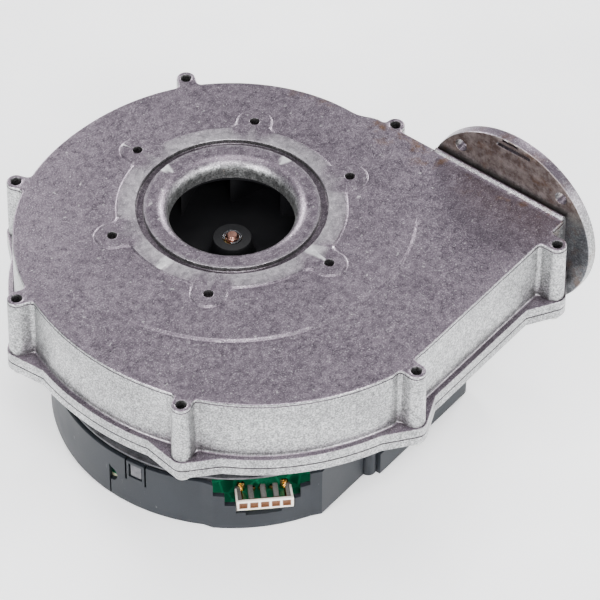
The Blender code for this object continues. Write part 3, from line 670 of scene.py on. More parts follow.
def volute():
    body = scroll_shell()
    neck = block("outlet_neck", (71.4, -102.6, PARTING_Z + 0.5), (76.0, -47.0, TOP_Z - 0.4), 0.7)
    opening = slab("opening", rounded_box(*OUTLET_Y, *OUTLET_Z, 2.0), 66.0, 84.0, matrix=FACING_X)
    carve(neck, opening)
    tall = rounded_box(*OUTLET_Y, OUTLET_Z[0] - 5, OUTLET_Z[1], 2.0)
    mouth = slab("mouth", tall, 69.5, 79.0, matrix=FACING_X)
    carve(body, mouth)
    return evened(joined("scroll_casting", body, neck, outlet_ridge(), outlet_flange(), sharp=32))


# ---------------------------------------------------------------- the lower castings
def floor_casting():
    """The scroll's floor plate with its ears, and the ribbed pot under it."""
    shell = Shell()
    levels = edge_levels(PLATE_FOOT_Z, FLOOR_Z, 0.45)
    foot, top = shell.stack(levels, lambda o: RIM_LUGS.ears(RIM_OUT + 0.05 + o, EAR_RADIUS + 0.05 + o))
    bore_foot, bore_top = shell.stack([(0, PLATE_FOOT_Z), (0, FLOOR_Z)], lambda o: circle(SHAFT_BORE, 64))
    shell.fill(foot, [bore_foot])
    shell.fill(top, [bore_top])
    plate = shell.made("floor_plate")
    inner = POT_RADIUS - WALL
    wall, rim, low_z, high_z = POT_RADIUS, POT_RIM_RADIUS, POT_FOOT_Z, PLATE_FOOT_Z
    pot = [(wall + 1.6, high_z + 0.6), (wall + 0.5, high_z - 0.5), (wall, high_z - 2.0)]
    pot += [(wall, low_z + 5.0), (wall + 0.6, low_z + 3.6), (wall + 2.0, low_z + 3.0)]
    pot += [(rim - 0.5, low_z + 3.0), (rim - 0.1, low_z + 2.85), (rim, low_z + 2.5)]
    pot += [(rim, low_z + 0.4), (rim - 0.4, low_z), (inner, low_z), (inner, high_z + 0.6)]
    cup = turned("motor_pot", pot, 192)
    carve(cup, *[block(f"pot_window_{a}", (50, -9, 38), (62, 9, 54), 1.0, a) for a in WINDOW_ANGLES])
    rib = (56.5, -1.25, 45), (69, 1.25, PLATE_FOOT_Z + 1)
    ribs = [block(f"rib_{k}", *rib, 0.5, 360 / POT_RIBS * (k + 0.5)) for k in range(POT_RIBS)]
    return evened(joined("floor_casting", plate, cup, *ribs))


def motor_mount():
    """The ring that closes the pot, with the bearing tube and the lip the cover clips round."""
    low_z, high_z = low("motor_flange").z + 4, 27.1
    out = high("motor_flange").x
    lip = COVER_RADIUS - COVER_WALL - 0.6
    profile = [(12.0, 59.0), (12.0, 31.0), (14.0, high_z), (out - 0.4, high_z), (out - 0.1, high_z - 0.1)]
    profile += [(out, high_z - 0.35), (out, low_z + 0.35), (out - 0.1, low_z + 0.1), (out - 0.4, low_z)]
    profile += [(lip, low_z), (lip, low_z - 3.6), (lip - 0.4, low_z - 4), (lip - 1.6, low_z - 4)]
    profile += [(lip - 2, low_z - 3.6), (lip - 2, low_z), (SHAFT_BORE, low_z), (SHAFT_BORE, 39.2)]
    profile += [(6.5, 39.4), (6.5, 52.0), (SHAFT_BORE, 52.2), (SHAFT_BORE, 59.0)]
    ring = turned("motor_mount", profile, 192)
    near = (COVER_RADIUS - 3.6, -LATCH_LUG, LATCH_Z[0] + 0.4)
    far = (COVER_RADIUS - 0.5, LATCH_LUG, LATCH_Z[1] - 0.4)
    lugs = [block(f"latch_lug_{angle}", near, far, 0.3, angle) for angle in LATCH_ANGLES]
    flat = block("lip_flat", (-45, -75, low_z - 8), (45, COVER_SIDE_Y + COVER_WALL + 0.5, low_z))
    carve(ring, flat, facing_plug("plug_side", (60, 75), WINDOW_WIDE, (low_z - 8, low_z)))
    return evened(joined("motor_mount", ring, *lugs))


# ---------------------------------------------------------------- the cover
def cover_outline():
    """The cover round the board: a circle with a bulge for the plug and a flat side."""
    first, last = COVER_BULGE
    flat = math.degrees(math.asin(COVER_SIDE_Y / COVER_RADIUS))
    points = arc((0, 0), COVER_RADIUS, flat, 360 + first - 3, 200)
    points += arc((0, 0), COVER_BULGE_RADIUS, 360 + first, 360 + last, 32)
    start, end = points[-1], points[0]
    corner = np.array((-30.0, COVER_SIDE_Y))
    return np.array(points + span(start, corner, 5)[1:] + span(corner, end, 40))


def facing_plug(name, x, y, z, bevel=0.0):
    """A box between two values along each of the header's own axes, with X out of the plug."""
    corner, opposite = zip(x, y, z)
    return block(name, corner, opposite, bevel, HEADER_ANGLE, HEADER_AT)


def cover():
    outline = cover_outline()
    shell = Shell()
    top = COVER_HEIGHT
    levels = [(-1.3, 0.0), (-0.6, 0.18), (-0.15, 0.65), (0.0, 1.4), (0.0, top - 0.3), (-0.1, top - 0.08)]
    levels += [(-0.3, top), (-1.7, top), (-1.9, top - 0.1), (-2.0, top - 0.3), (-2.0, 2.6), (-2.6, 2.0)]
    foot, floor = shell.stack(levels, lambda o: grown(outline, o))
    shell.fill(foot)
    shell.fill(floor)
    cup = shell.made("motor_cover_cup")
    tools = [
        facing_plug("plug_window", (55, 85), WINDOW_WIDE, (19.0, 30)),
        facing_plug("plug_mouth", (55, 85), (-15.7, 13.9), (13.8, 30)),
        facing_plug("plug_notch", (60, 85), (-11.4, 11.4), (HEADER_FOOT - 0.4, 30)),
        facing_plug("plug_slit", (60, 85), (-7.6, 6.4), (8.2, HEADER_FOOT)),
    ]
    for angle in LATCH_ANGLES:
        for side in (-LATCH_GAP, LATCH_GAP):
            tools.append(block("latch_gap", (60, side - 0.4, 14), (80, side + 0.4, 30), 0, angle))
        eye = (60, -LATCH_EYE, LATCH_Z[0]), (80, LATCH_EYE, LATCH_Z[1])
        tools.append(block("latch_eye", *eye, 0, angle))
        tools.append(block("side_slit", (60, -12.7, 1.0), (80, -12.0, 17.0), 0, angle))
        keyhole = slab("keyhole", arc((-12.4, 12.6), 3.7, -90, 90, 25), 66, 80, matrix=FACING_X)
        keyhole.data.transform(Matrix.Rotation(math.radians(angle), 4, "Z"))
        tools.append(keyhole)
    carve(cup, *tools)
    softened(cup, 0.22)
    inner = COVER_RADIUS - 1.0
    corner, right = 3.5, COVER_WING_X
    wing = [(1.0, COVER_SIDE_Y + 1), (1.0, COVER_WING_Y)]
    wing += arc((right - corner, COVER_WING_Y + corner), corner, -90, 0, 9)
    wing += [(right, -42.5)] + arc((0, 0), inner, -36.2, -67.4, 30)
    deck = slab("cover_wing", wing, 0.0, COVER_WING_HEIGHT, 0.5)
    rib = turned(
        "cover_rib",
        [(0, 0.6), (2.4, 0.6), (3.0, 1.2), (3.0, 23.6), (2.6, 24.4), (1.8, 24.7), (0, 24.7)],
        48,
        (-1.0, COVER_SIDE_Y - 0.2),
    )
    return evened(joined("cover_moulding", cup, deck, rib))


# ---------------------------------------------------------------- the board and its header
def board():
    edge = COVER_RADIUS - COVER_WALL - 0.6
    main = arc((0, 0), edge, -66, 212, 180) + [np.array((-27.0, COVER_SIDE_Y + COVER_WALL + 0.8))]
    plate = slab("board", main, *BOARD_Z)
    facing = Matrix.Translation((*(HEADER_AT * MM), 0)) @ Matrix.Rotation(math.radians(HEADER_ANGLE), 4, "Z")
    tabs = [
        [(54.0, -17.6), (63.0, -17.6), (67.6, -13.8), (67.6, -12.4), (54.0, -12.4)],
        [(54.0, 12.0), (68.0, 12.0), (68.0, 12.8), (63.8, 16.8), (54.0, 16.8)],
        [(50.0, -13.0), (71.4, -13.0), (71.4, 13.0), (50.0, 13.0)],
    ]
    pieces = [slab(f"board_tab_{k}", tab, *BOARD_Z, matrix=facing) for k, tab in enumerate(tabs)]
    return softened(carve(plate, *pieces, operation="UNION"), 0.06)


def about(centre, half):
    return centre - half, centre + half


def header():
    """The five-way header: a front frame with five cells, a ledge behind it and a cheek at each end."""
    foot, top = HEADER_FOOT, HEADER_FOOT + HEADER_TALL
    ends = about(0, HEADER_HALF)
    front = facing_plug("header", (FRAME_BACK, HEADER_FACE), ends, (foot, top), 0.25)
    deep, tall = (FRAME_BACK - 1, HEADER_FACE + 2), (foot + 0.8, top - 0.8)
    carve(front, *[facing_plug("cell", deep, about(way * HEADER_PITCH, 1.65), tall, 0.25) for way in WAYS])
    softened(front, 0.12)
    ledge = facing_plug("ledge", (FRAME_BACK - 0.6, FRAME_BACK + 0.05), ends, (foot, top - 1.4), 0.2)
    deep, tall, out = (HEADER_BACK + 0.6, FRAME_BACK + 0.5), (foot, top - 1.2), HEADER_HALF - 0.4
    cheeks = [facing_plug("cheek", deep, about(side * out, 0.4), tall, 0.2) for side in (-1, 1)]
    return joined("plug_header", front, ledge, *cheeks)


def header_cells():
    """The copper-brown linings of the header's cells."""
    outside = (FRAME_BACK - 0.7, HEADER_FACE - 0.25), (HEADER_FOOT + 0.7, HEADER_FOOT + 4.4)
    inside = (FRAME_BACK + 0.1, HEADER_FACE + 2), (HEADER_FOOT + 1.05, HEADER_FOOT + 4.0)
    pieces = []
    for way in WAYS:
        at = way * HEADER_PITCH
        box = facing_plug("lining", outside[0], about(at, 1.75), outside[1], 0.15)
        pieces.append(carve(box, facing_plug("hollow", inside[0], about(at, 1.3), inside[1], 0.3)))
    return joined("header_cells", *pieces)


def header_ribs():
    """The grey ribs between the ways behind the frame."""
    deep, tall = (HEADER_BACK - 1.6, FRAME_BACK - 0.4), (HEADER_FOOT - 0.2, HEADER_FOOT + 3.0)
    ribs = [facing_plug(f"header_rib_{way}", deep, about(way * RIB_PITCH, 1.0), tall, 0.3) for way in WAYS]
    return joined("header_ribs", *ribs)


def pins():
    """The header's pins: flat blades with a leg down to the board and a two-lobed heel."""
    foot, back = HEADER_FOOT, HEADER_BACK
    for number, way in enumerate(WAYS, 1):
        at = way * HEADER_PITCH
        across = about(at, 0.35)
        blade = facing_plug("blade", (back - 1, HEADER_FACE - 2), across, (foot + 1.9, foot + 2.6), 0.16)
        leg = facing_plug("leg", (back - 1.7, back - 0.9), across, (foot, foot + 2.6), 0.1)
        rise = foot + (4.6 if number in (1, 5) else 1.6)
        profile = [(0, rise), (0.5, rise - 0.1), (0.8, rise - 0.6), (0.85, rise - 1.6)]
        profile += [(0.7, foot + 0.1), (0, foot + 0.1)]
        lobes = []
        for side in (-0.75, 0.75):
            seat = Matrix.Rotation(math.radians(HEADER_ANGLE), 2) @ Vector((back - 1.6, at + side))
            lobes.append(turned("lobe", profile, 20, np.array(seat) + HEADER_AT))
        pin = joined(f"header_pin_{number}", blade, leg, *lobes)
        finished(pin, GOLD, "root", "gold_plated", f"connector_pin_{number}")


# ---------------------------------------------------------------- the wheel and its fixings
IMPELLER_RADIUS = 64.0
EYE_RADIUS = 26.4
BLADES = 9


def shroud_height(radius):
    """The underside of the shroud, which falls from the eye to the tip."""
    fall = (radius - EYE_RADIUS) / (IMPELLER_RADIUS - EYE_RADIUS)
    return 86.0 + 5.0 * (1 - fall) ** 2.5


def blower_wheel():
    rim, hub = IMPELLER_RADIUS, 7.6
    disc = [(hub, 85.3), (hub - 0.3, 85.7), (3.9, 85.7), (3.9, 84.95), (5.3, 84.9), (5.3, 73.5)]
    disc += [(rim - 0.4, 73.5), (rim, 73.9), (rim, 74.9), (rim - 0.4, 75.2)]
    disc += [(hub + 4.0, 75.5), (hub + 2.0, 76.2), (hub + 0.8, 78.4), (hub + 0.3, 82.0)]
    pieces = [turned("wheel_disc", disc, 128)]
    stations, start, lean = 25, 30.0, 52.0
    for k in range(BLADES):
        sides = []
        for i in range(stations):
            t = i / (stations - 1)
            radius = start + (rim - 0.8 - start) * t
            sides.append((radius, 360 / BLADES * k - lean * t**0.85, 0.7 - 0.3 * (2 * t - 1) ** 4))
        left = [spoke(r, a + math.degrees(h / r)) for r, a, h in sides]
        right = [spoke(r, a - math.degrees(h / r)) for r, a, h in sides]
        contour = np.array(left + right[::-1])[::-1]
        tops = [shroud_height(math.hypot(x, y)) - 0.3 for x, y in contour]
        shell = Shell()
        low_ring, high_ring = shell.ring(contour, 74.5), shell.ring(contour, tops)
        shell.bridge(low_ring, high_ring)
        for ring in (low_ring, high_ring):
            for i in range(stations - 1):
                j = len(ring) - 1 - i
                shell.faces.append((ring[i], ring[i + 1], ring[j - 1], ring[j]))
        pieces.append(shell.made(f"blade_{k}"))
    return joined("blower_wheel", *pieces)


def blower_shroud():
    radii = [EYE_RADIUS + (IMPELLER_RADIUS - EYE_RADIUS) * (i / 16) ** 1.5 for i in range(17)]
    under = [(r, shroud_height(r)) for r in radii]
    over = [(r, z + 1.2) for r, z in under[1:]]
    over[-1] = (over[-1][0] - 0.3, over[-1][1])
    collar = [(0.0, 93.4), (0.3, 93.6), (0.9, 93.6), (1.2, 93.3)]
    collar = [(EYE_RADIUS + out, z) for out, z in collar]
    return turned("blower_shroud", [*collar, *over, *under[::-1]], 160)


def shaft():
    lowest, highest = low("motor_shaft").z, high("motor_shaft").z
    top = [(0, highest - 0.15), (0.5, highest - 0.1), (1.75, highest), (1.9, highest - 0.1)]
    top += [(2.2, highest - 0.7), (2.5, highest - 1.0)]
    groove = [(2.5, 86.15), (2.25, 86.1), (2.25, 85.4), (2.5, 85.35)]
    foot = [(2.5, lowest + 0.5), (2.0, lowest), (0, lowest)]
    return turned("motor_shaft_bar", top + groove + foot, 64)


def retaining_clip():
    """A snap ring with its gap."""
    z0, z1 = low("retaining_clip").z, high("retaining_clip").z
    angles = np.linspace(-150, 150, 61)
    outer = [spoke(3.7, a) for a in angles]
    inner = [spoke(2.8 if abs(a) < 138 else 3.0, a) for a in angles[::-1]]
    return slab("snap_ring", outer + inner, z0, z1, 0.12)


def housing_screw(k):
    """A button-head screw with a round socket, upside down under the plate."""
    at = POSTS[k - 1]
    seat = high(f"housing_screw_{k}").z
    foot = low(f"housing_screw_{k}").z
    head = foot + 3.0
    profile = [(0, seat), (1.3, seat), (1.65, seat - 0.5)]
    z = seat - 0.8
    while z > head + 1.5:
        profile += [(1.65, z), (1.35, z - 0.35), (1.65, z - 0.7)]
        z -= 0.7
    profile += [(1.65, head), (3.3, head), (3.55, head - 0.2), (3.6, head - 0.6), (3.35, foot + 1.0)]
    profile += [(2.7, foot + 0.35), (2.0, foot + 0.05), (1.75, foot), (1.5, foot + 1.6), (0, foot + 1.8)]
    return turned(f"flange_bolt_{k}", profile, 36, at)


# ---------------------------------------------------------------- materials
class Look:
    """A material's node tree, with short calls for the nodes the looks here share."""

    def __init__(self, name, roughness=0.5, metallic=0.0, **fixed):
        self.material = bpy.data.materials.new(name)
        self.material.use_nodes = True
        self.tree = self.material.node_tree
        self.shader = self.tree.nodes["Principled BSDF"]
        self.shader.inputs["Roughness"].default_value = roughness
        self.shader.inputs["Metallic"].default_value = metallic
        for socket, value in fixed.items():
            self.shader.inputs[socket.replace("_", " ")].default_value = value
        self.place = self.node("ShaderNodeTexCoord").outputs["Object"]

    def node(self, kind, **settings):
        made = self.tree.nodes.new(kind)
        for key, value in settings.items():
            setattr(made, key, value)
        return made

    def link(self, source, target):
        self.tree.links.new(source, target)

    def stretched(self, scale, turn=(0.0, 0.0, 0.0)):
        mapping = self.node("ShaderNodeMapping")
        mapping.inputs["Scale"].default_value = scale
        mapping.inputs["Rotation"].default_value = [math.radians(a) for a in turn]
        self.link(self.place, mapping.inputs["Vector"])
        return mapping.outputs["Vector"]

    def noise(self, size, detail=4.0, rough=0.55, vector=None, twist=0.0):
        """Noise whose blobs are about size millimetres across."""
        made = self.node("ShaderNodeTexNoise")
        made.inputs["Scale"].default_value = 1000.0 / size
        made.inputs["Detail"].default_value = detail
        made.inputs["Roughness"].default_value = rough
        made.inputs["Distortion"].default_value = twist
        self.link(vector or self.place, made.inputs["Vector"])
        return made.outputs["Fac"]

    def math(self, operation, a, b=0.0, c=None, clamp=False):
        made = self.node("ShaderNodeMath", operation=operation, use_clamp=clamp)
        for socket, value in zip(made.inputs, (a, b) if c is None else (a, b, c)):
            if isinstance(value, (int, float)):
                socket.default_value = value
            else:
                self.link(value, socket)
        return made.outputs["Value"]

    def remap(self, value, low_in, high_in, low_out=0.0, high_out=1.0):
        made = self.node("ShaderNodeMapRange")
        limits = {"From Min": low_in, "From Max": high_in, "To Min": low_out, "To Max": high_out}
        for key, number in limits.items():
            made.inputs[key].default_value = number
        self.link(value, made.inputs["Value"])
        return made.outputs["Result"]

    def ramp(self, value, *stops):
        made = self.node("ShaderNodeValToRGB")
        ramp = made.color_ramp
        while len(ramp.elements) < len(stops):
            ramp.elements.new(0.5)
        for element, (place, colour) in zip(ramp.elements, stops):
            element.position = place
            element.color = (*colour, 1.0)
        self.link(value, made.inputs["Fac"])
        return made.outputs["Color"]

    def mix(self, share, a, b, blend="MIX"):
        made = self.node("ShaderNodeMix", data_type="RGBA", blend_type=blend)
        for socket, value in ((made.inputs[0], share), (made.inputs[6], a), (made.inputs[7], b)):
            if isinstance(value, (int, float)):
                socket.default_value = value
            elif isinstance(value, tuple):
                socket.default_value = (*value, 1.0)
            else:
                self.link(value, socket)
        return made.outputs[2]

    def split(self, vector):
        made = self.node("ShaderNodeSeparateXYZ")
        self.link(vector, made.inputs["Vector"])
        return made.outputs

    def facing(self):
        return self.split(self.node("ShaderNodeNewGeometry").outputs["Normal"])

    def colour(self, source):
        self.link(source, self.shader.inputs["Base Color"])

    def roughness(self, source):
        self.link(source, self.shader.inputs["Roughness"])

    def bump(self, height, depth, strength=1.0):
        """Bump of a depth in millimetres."""
        made = self.node("ShaderNodeBump")
        made.inputs["Strength"].default_value = strength
        made.inputs["Distance"].default_value = depth * MM
        self.link(height, made.inputs["Height"])
        self.link(made.outputs["Normal"], self.shader.inputs["Normal"])


def cast_aluminium():
    """Die-cast metal: mauve and mottled on top, paler and grainier down the sides, with stains. The paler
    tone down the sides is painted light; there is also a painted highlight on sharp edges and painted shade
    in creases, on the flange's back face and on the pot under the plate.
    """
    look = Look("cast_aluminium", 0.45, 0.9)
    cloud = look.noise(26, 6, 0.62, twist=0.4)
    mottle = look.noise(2.4, 5, 0.7)
    grain = look.noise(0.7, 3, 0.6)
    shade = look.math("MULTIPLY_ADD", mottle, 0.22, look.math("MULTIPLY", cloud, 0.20))
    shade = look.math("MULTIPLY_ADD", grain, 0.58, shade)
    mauve = (0.36, (0.105, 0.084, 0.107)), (0.50, (0.165, 0.134, 0.166)), (0.64, (0.26, 0.22, 0.26))
    grey = (0.36, (0.09, 0.09, 0.092)), (0.50, (0.27, 0.275, 0.275)), (0.64, (0.66, 0.665, 0.665))
    # The paler grey on faces turned away from upright is painted light: it stands in for the bright
    # reflections down the walls.
    top, side = look.ramp(shade, *mauve), look.ramp(shade, *grey)
    facing = look.facing()
    up = look.remap(facing["Z"], 0.35, 0.85)
    colour = look.mix(up, side, top)
    speckle = look.noise(0.5, 1, 0.5)
    colour = look.mix(look.remap(speckle, 0.60, 0.70, 0, 0.45), colour, (0.62, 0.59, 0.62))
    spots = look.noise(1.6, 2, 0.5)
    colour = look.mix(look.remap(spots, 0.70, 0.76, 0, 0.55), colour, (0.06, 0.05, 0.055))
    flecks = look.noise(2.3, 2, 0.5, look.stretched((1.0, 1.3, 0.8), (20, 40, 70)))
    colour = look.mix(look.remap(flecks, 0.70, 0.75, 0, 0.5), colour, (0.72, 0.70, 0.71))
    place = look.split(look.place)
    # The flange's back faces, turned away from the outlet, get painted shade in dark blue-grey; on their
    # upper part a brown stain goes over it.
    back = look.math("MULTIPLY", look.remap(facing["X"], -0.7, -0.95), look.remap(place["X"], 0.0735, 0.0745))
    colour = look.mix(look.math("MULTIPLY", back, 0.6), colour, (0.085, 0.095, 0.115))
    back = look.math("MULTIPLY", back, look.remap(place["Z"], 0.098, 0.108))
    brown = look.ramp(look.noise(5, 6, 0.7), (0.4, (0.10, 0.065, 0.045)), (0.62, (0.34, 0.29, 0.25)))
    colour = look.mix(look.math("MULTIPLY", back, 0.8), colour, brown)
    ends = look.remap(look.math("ABSOLUTE", look.math("SUBTRACT", place["X"], 0.071)), 0.0, 0.012, 1.0, 0.0)
    stain = look.math("MULTIPLY", ends, look.remap(look.noise(7, 5, 0.6), 0.52, 0.66))
    colour = look.mix(look.math("MULTIPLY", stain, 0.75), colour, (0.16, 0.085, 0.04))
    shaded_pot = look.remap(place["Z"], 0.0675, 0.0655, 0.0, 0.75)
    colour = look.mix(shaded_pot, colour, (0.035, 0.035, 0.038))
    # Pale colour on sharp edges, found by pointiness: a painted highlight.
    edge = look.node("ShaderNodeNewGeometry").outputs["Pointiness"]
    colour = look.mix(look.remap(edge, 0.54, 0.61, 0.0, 0.85), colour, (0.90, 0.88, 0.90))
    # Darker in creases and narrow hollows, found by ambient occlusion: painted shade.
    crease = look.node("ShaderNodeAmbientOcclusion", samples=6)
    crease.inputs["Distance"].default_value = 0.004
    crease_shade = look.remap(crease.outputs["AO"], 0.35, 0.95, 0.72, 0.0)
    look.colour(look.mix(crease_shade, colour, (0.035, 0.028, 0.03)))
    look.roughness(look.remap(mottle, 0.3, 0.7, 0.26, 0.46))
    height = look.math("MULTIPLY_ADD", grain, 0.6, look.math("MULTIPLY", mottle, 0.5))
    look.bump(height, 0.22, 0.6)
    return look.material


def moulded(name, dark, pale, rough=(0.38, 0.52), scratches=0.0, grain=0.5, **fixed):
    """Plastic with a faint cloud, a fine moulded grain and optional scuffs."""
    look = Look(name, **fixed)
    cloud = look.noise(18, 4, 0.6)
    fine = look.noise(0.45, 2, 0.5)
    shade = look.math("MULTIPLY_ADD", fine, 0.3, look.math("MULTIPLY", cloud, 0.7))
    colour = look.ramp(shade, (0.35, dark), (0.68, pale))
    if scratches:
        streak = look.noise(0.9, 3, 0.6, look.stretched((0.08, 1.0, 0.16), (0, 25, 50)))
        other = look.noise(0.9, 3, 0.6, look.stretched((1.0, 0.07, 0.14), (15, 0, 20)))
        marks = look.math("MAXIMUM", look.remap(streak, 0.68, 0.76), look.remap(other, 0.70, 0.78))
        patch = look.remap(look.noise(14, 3, 0.5), 0.48, 0.62)
        share = look.math("MULTIPLY", look.math("MULTIPLY", marks, patch), scratches)
        colour = look.mix(share, colour, (0.45, 0.46, 0.46))
    look.colour(colour)
    look.roughness(look.remap(cloud, 0.3, 0.7, *rough))
    look.bump(fine, 0.03, grain)
    return look.material


def metal(name, dark, pale, rough=(0.25, 0.42), rings=0.0, metallic=1.0):
    """Plain metal with a clouded tone, and turning marks round the fan's axis when rings is set."""
    look = Look(name, metallic=metallic)
    cloud = look.noise(3.2, 5, 0.6)
    fine = look.noise(0.35, 2, 0.5)
    shade = look.math("MULTIPLY_ADD", fine, 0.35, look.math("MULTIPLY", cloud, 0.65))
    look.colour(look.ramp(shade, (0.36, dark), (0.64, pale)))
    look.roughness(look.remap(cloud, 0.3, 0.7, *rough))
    height = fine
    if rings:
        height = look.noise(rings, 2, 0.5, look.stretched((0.02, 0.02, 1.0)))
    look.bump(height, 0.02, 0.5)
    return look.material


def layered(name, dark, pale, pitch, metallic):
    """A stack of sheets or turns of wire: fine bands up the axis."""
    look = Look(name, 0.4, metallic)
    wave = look.node("ShaderNodeTexWave", bands_direction="Z")
    wave.inputs["Scale"].default_value = 1000.0 / pitch / 20
    wave.inputs["Distortion"].default_value = 0.6
    look.link(look.place, wave.inputs["Vector"])
    tone = look.math("MULTIPLY_ADD", look.noise(2.0), 0.4, look.math("MULTIPLY", wave.outputs["Fac"], 0.6))
    look.colour(look.ramp(tone, (0.25, dark), (0.8, pale)))
    look.roughness(look.remap(tone, 0.2, 0.8, 0.5, 0.3))
    look.bump(wave.outputs["Fac"], 0.12, 0.8)
    return look.material


def board_green():
    """Solder mask over faint tracks, with bare pale laminate at the cut edges."""
    look = Look("board_green", 0.3, 0.0)
    cells = look.node("ShaderNodeTexVoronoi", feature="DISTANCE_TO_EDGE")
    cells.inputs["Scale"].default_value = 160.0
    look.link(look.place, cells.inputs["Vector"])
    tracks = look.remap(cells.outputs["Distance"], 0.05, 0.07)
    face = look.mix(tracks, (0.014, 0.26, 0.12), (0.006, 0.14, 0.065))
    weave = look.ramp(look.noise(0.8), (0.4, (0.42, 0.44, 0.28)), (0.6, (0.60, 0.60, 0.42)))
    level = look.math("ABSOLUTE", look.facing()["Z"])
    look.colour(look.mix(look.remap(level, 0.3, 0.7), weave, face))
    look.roughness(look.remap(look.noise(5), 0.3, 0.7, 0.24, 0.4))
    look.bump(tracks, 0.03, 0.6)
    return look.material


CAST = cast_aluminium()
COVER_BLACK = moulded(
    "cover_black", (0.010, 0.012, 0.015), (0.020, 0.023, 0.028), (0.40, 0.52), 0.4, Specular_IOR_Level=0.22
)
WHEEL_BLACK = moulded(
    "wheel_black", (0.003, 0.003, 0.004), (0.008, 0.008, 0.009), (0.45, 0.6), Specular_IOR_Level=0.25
)
CHIP_BLACK = moulded("chip_black", (0.012, 0.012, 0.013), (0.022, 0.022, 0.024), (0.5, 0.6))
HEADER_WHITE = moulded("header_nylon", (0.72, 0.64, 0.54), (0.90, 0.86, 0.80), (0.36, 0.5))
RIB_GREY = moulded("rib_grey", (0.060, 0.060, 0.058), (0.16, 0.155, 0.145), (0.3, 0.45))
CELL_COPPER = moulded("cell_copper", (0.085, 0.032, 0.012), (0.22, 0.095, 0.04), (0.4, 0.6))
RUBBER = moulded("rubber", (0.012, 0.012, 0.012), (0.030, 0.030, 0.030), (0.6, 0.75), grain=1.0)
FERRITE = moulded("ferrite", (0.030, 0.030, 0.033), (0.070, 0.068, 0.070), (0.5, 0.7), grain=1.0)
CAN = moulded("capacitor_sleeve", (0.020, 0.024, 0.050), (0.040, 0.046, 0.080), (0.25, 0.35))
ZINC = metal("zinc_steel", (0.30, 0.30, 0.29), (0.62, 0.62, 0.60))
CLIP_STEEL = metal("clip_steel", (0.08, 0.08, 0.085), (0.25, 0.25, 0.26), (0.15, 0.3))
SHAFT_STEEL = metal("shaft_steel", (0.30, 0.135, 0.10), (0.62, 0.34, 0.27), (0.22, 0.36), rings=0.25)
BEARING_STEEL = metal("bearing_steel", (0.5, 0.5, 0.52), (0.8, 0.8, 0.82), (0.1, 0.22))
BRASS = metal("brass", (0.40, 0.25, 0.08), (0.72, 0.52, 0.22), (0.25, 0.4))
GOLD = metal("gold_plate", (0.62, 0.38, 0.10), (0.95, 0.70, 0.30), (0.14, 0.26))
LAMINATION = layered("lamination_steel", (0.05, 0.05, 0.055), (0.2, 0.2, 0.21), 0.5, 0.8)
COPPER_WIRE = layered("copper_wire", (0.20, 0.06, 0.02), (0.70, 0.30, 0.12), 0.6, 0.9)
BOARD_GREEN = board_green()
# The motor mount's copy of the cast metal, much darker than the other castings: painted shade for the dim gap
# under the plate.
MOUNT_IN_SHADE = metal("mount_in_shade", (0.045, 0.045, 0.05), (0.15, 0.15, 0.16), (0.35, 0.5), metallic=0.8)


# ---------------------------------------------------------------- the fan
finished(volute(), CAST, "root", "cast_aluminium", "volute_housing")
finished(floor_casting(), CAST, "root", "cast_aluminium", "back_plate")
# The motor mount wears the darker copy of the cast metal: painted shade.
finished(motor_mount(), MOUNT_IN_SHADE, "root", "cast_aluminium", "motor_flange")
finished(cover(), COVER_BLACK, "root", "black_plastic", "motor_cover")
finished(board(), BOARD_GREEN, "root", "circuit_board", "circuit_board")
finished(header(), HEADER_WHITE, "root", "header_nylon", "connector_header")
finished(header_cells(), CELL_COPPER, "root", "header_nylon")
finished(header_ribs(), RIB_GREY, "root", "header_nylon")
pins()
finished(blower_wheel(), WHEEL_BLACK, "rotor", "impeller_plastic", "impeller_wheel")
finished(blower_shroud(), WHEEL_BLACK, "rotor", "impeller_plastic", "impeller_shroud")
finished(shaft(), SHAFT_STEEL, "rotor", "shaft_steel", "motor_shaft")
finished(retaining_clip(), CLIP_STEEL, "rotor", "zinc_steel", "retaining_clip")
for number in range(1, 8):
    finished(housing_screw(number), ZINC, "root", "zinc_steel", f"housing_screw_{number}")

CARRIED_OVER = {
    "bearing_inner": BEARING_STEEL, "bearing_outer": BEARING_STEEL, "bearing_balls": BEARING_STEEL,
    "stator_core": LAMINATION, "stator_insulator": HEADER_WHITE, "stator_coil": COPPER_WIRE,
    "rotor_cup": ZINC, "rotor_magnet": FERRITE, "rotor_hub": BRASS, "impeller_bush": BRASS,
    "preload_spring": CLIP_STEEL, "shaft_seal": RUBBER, "housing_seal": RUBBER, "filter_choke": FERRITE,
    "driver_chip": CHIP_BLACK, "hall_sensor": CHIP_BLACK, "smoothing_capacitor": CAN,
    "board_screw": ZINC, "motor_flange_screw": ZINC,
}
for node, shape in frame["nodes"].items():
    for start, look in CARRIED_OVER.items():
        if node.startswith(start) or start in node:
            shape.data.materials.clear()
            shape.data.materials.append(look)


# ---------------------------------------------------------------- the set
def floor():
    """A plain pale floor, faintly clouded like paper."""
    shape = bmesh.new()
    bmesh.ops.create_grid(shape, x_segments=8, y_segments=8, size=4.0)
    mesh = bpy.data.meshes.new("floor")
    shape.to_mesh(mesh)
    shape.free()
    made = bpy.data.objects.new("floor", mesh)
    bpy.context.scene.collection.objects.link(made)
    look = Look("paper", 0.8)
    look.colour(look.ramp(look.noise(40, 3), (0.4, (0.90, 0.90, 0.91)), (0.6, (0.93, 0.93, 0.94))))
    look.shader.inputs["Emission Color"].default_value = (1.0, 1.0, 1.0, 1.0)
    look.shader.inputs["Emission Strength"].default_value = 0.40
    made.data.materials.append(look.material)


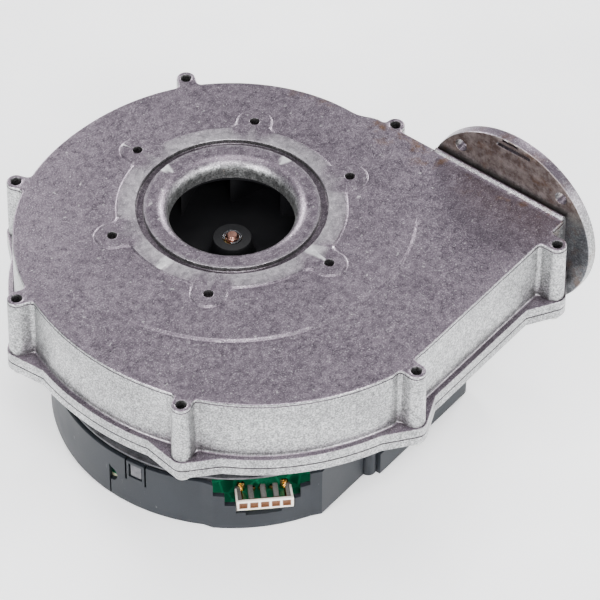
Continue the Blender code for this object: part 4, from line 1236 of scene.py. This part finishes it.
def lamp(name, heading, height, distance, size, power):
    """A square soft light, at a heading in degrees from where the camera stands."""
    data = bpy.data.lights.new(name, "AREA")
    data.shape = "SQUARE"
    data.size = size
    data.energy = power
    made = bpy.data.objects.new(name, data)
    turn = VIEW_HEADING + math.pi + math.radians(heading)
    flat = distance * math.cos(math.radians(height))
    made.location = (flat * math.cos(turn), flat * math.sin(turn), distance * math.sin(math.radians(height)))
    aim = Vector((0.0, -0.02, 0.06)) - made.location
    made.rotation_euler = aim.to_track_quat("-Z", "Y").to_euler()
    bpy.context.scene.collection.objects.link(made)


VIEW_HEADING = math.radians(38.21)  # the way the camera looks, in plan, from +X: see camera()


def camera():
    """The camera: its lens, its tilt, its roll, and how far off its axis the top's centre is."""
    lens, sensor = 228.0, 36.0
    tilt, roll = math.radians(45.33), math.radians(0.48)
    distance = 1.4466
    centre = Vector((0.0, 0.0, 0.102))
    left, above = 0.025894, 0.035621  # metres from the axis to the centre, as the camera sees it
    plan = Vector((math.cos(VIEW_HEADING), math.sin(VIEW_HEADING), 0.0))
    ahead = math.cos(tilt) * plan - Vector((0.0, 0.0, math.sin(tilt)))
    right = Vector((plan.y, -plan.x, 0.0))
    up = right.cross(ahead)
    across = math.cos(roll) * right + math.sin(roll) * up
    upward = -math.sin(roll) * right + math.cos(roll) * up
    place = centre - distance * ahead + left * across - above * upward
    data = bpy.data.cameras.new("camera")
    data.lens = lens
    data.sensor_width = sensor
    data.clip_end = 20
    made = bpy.data.objects.new("camera", data)
    made.matrix_world = Matrix.Translation(place) @ Matrix((across, upward, -ahead)).transposed().to_4x4()
    bpy.context.scene.collection.objects.link(made)
    bpy.context.scene.camera = made


floor()
lamp("key_left", heading=-42, height=27, distance=1.0, size=0.34, power=12)
lamp("key_right", heading=40, height=27, distance=1.0, size=0.30, power=9)
lamp("side_right", heading=82, height=20, distance=1.0, size=0.3, power=4)
lamp("back_left", heading=-150, height=30, distance=1.0, size=0.35, power=8)
lamp("back_right", heading=148, height=30, distance=1.0, size=0.35, power=8)
lamp("overhead", heading=0, height=88, distance=1.3, size=0.8, power=10)
lamp("front_high", heading=8, height=50, distance=1.0, size=0.25, power=5)
world = bpy.data.worlds.new("studio")
world.use_nodes = True
world.node_tree.nodes["Background"].inputs["Color"].default_value = (0.92, 0.94, 1.0, 1.0)
world.node_tree.nodes["Background"].inputs["Strength"].default_value = 0.38
bpy.context.scene.world = world
camera()

bpy.context.view_layer.update()
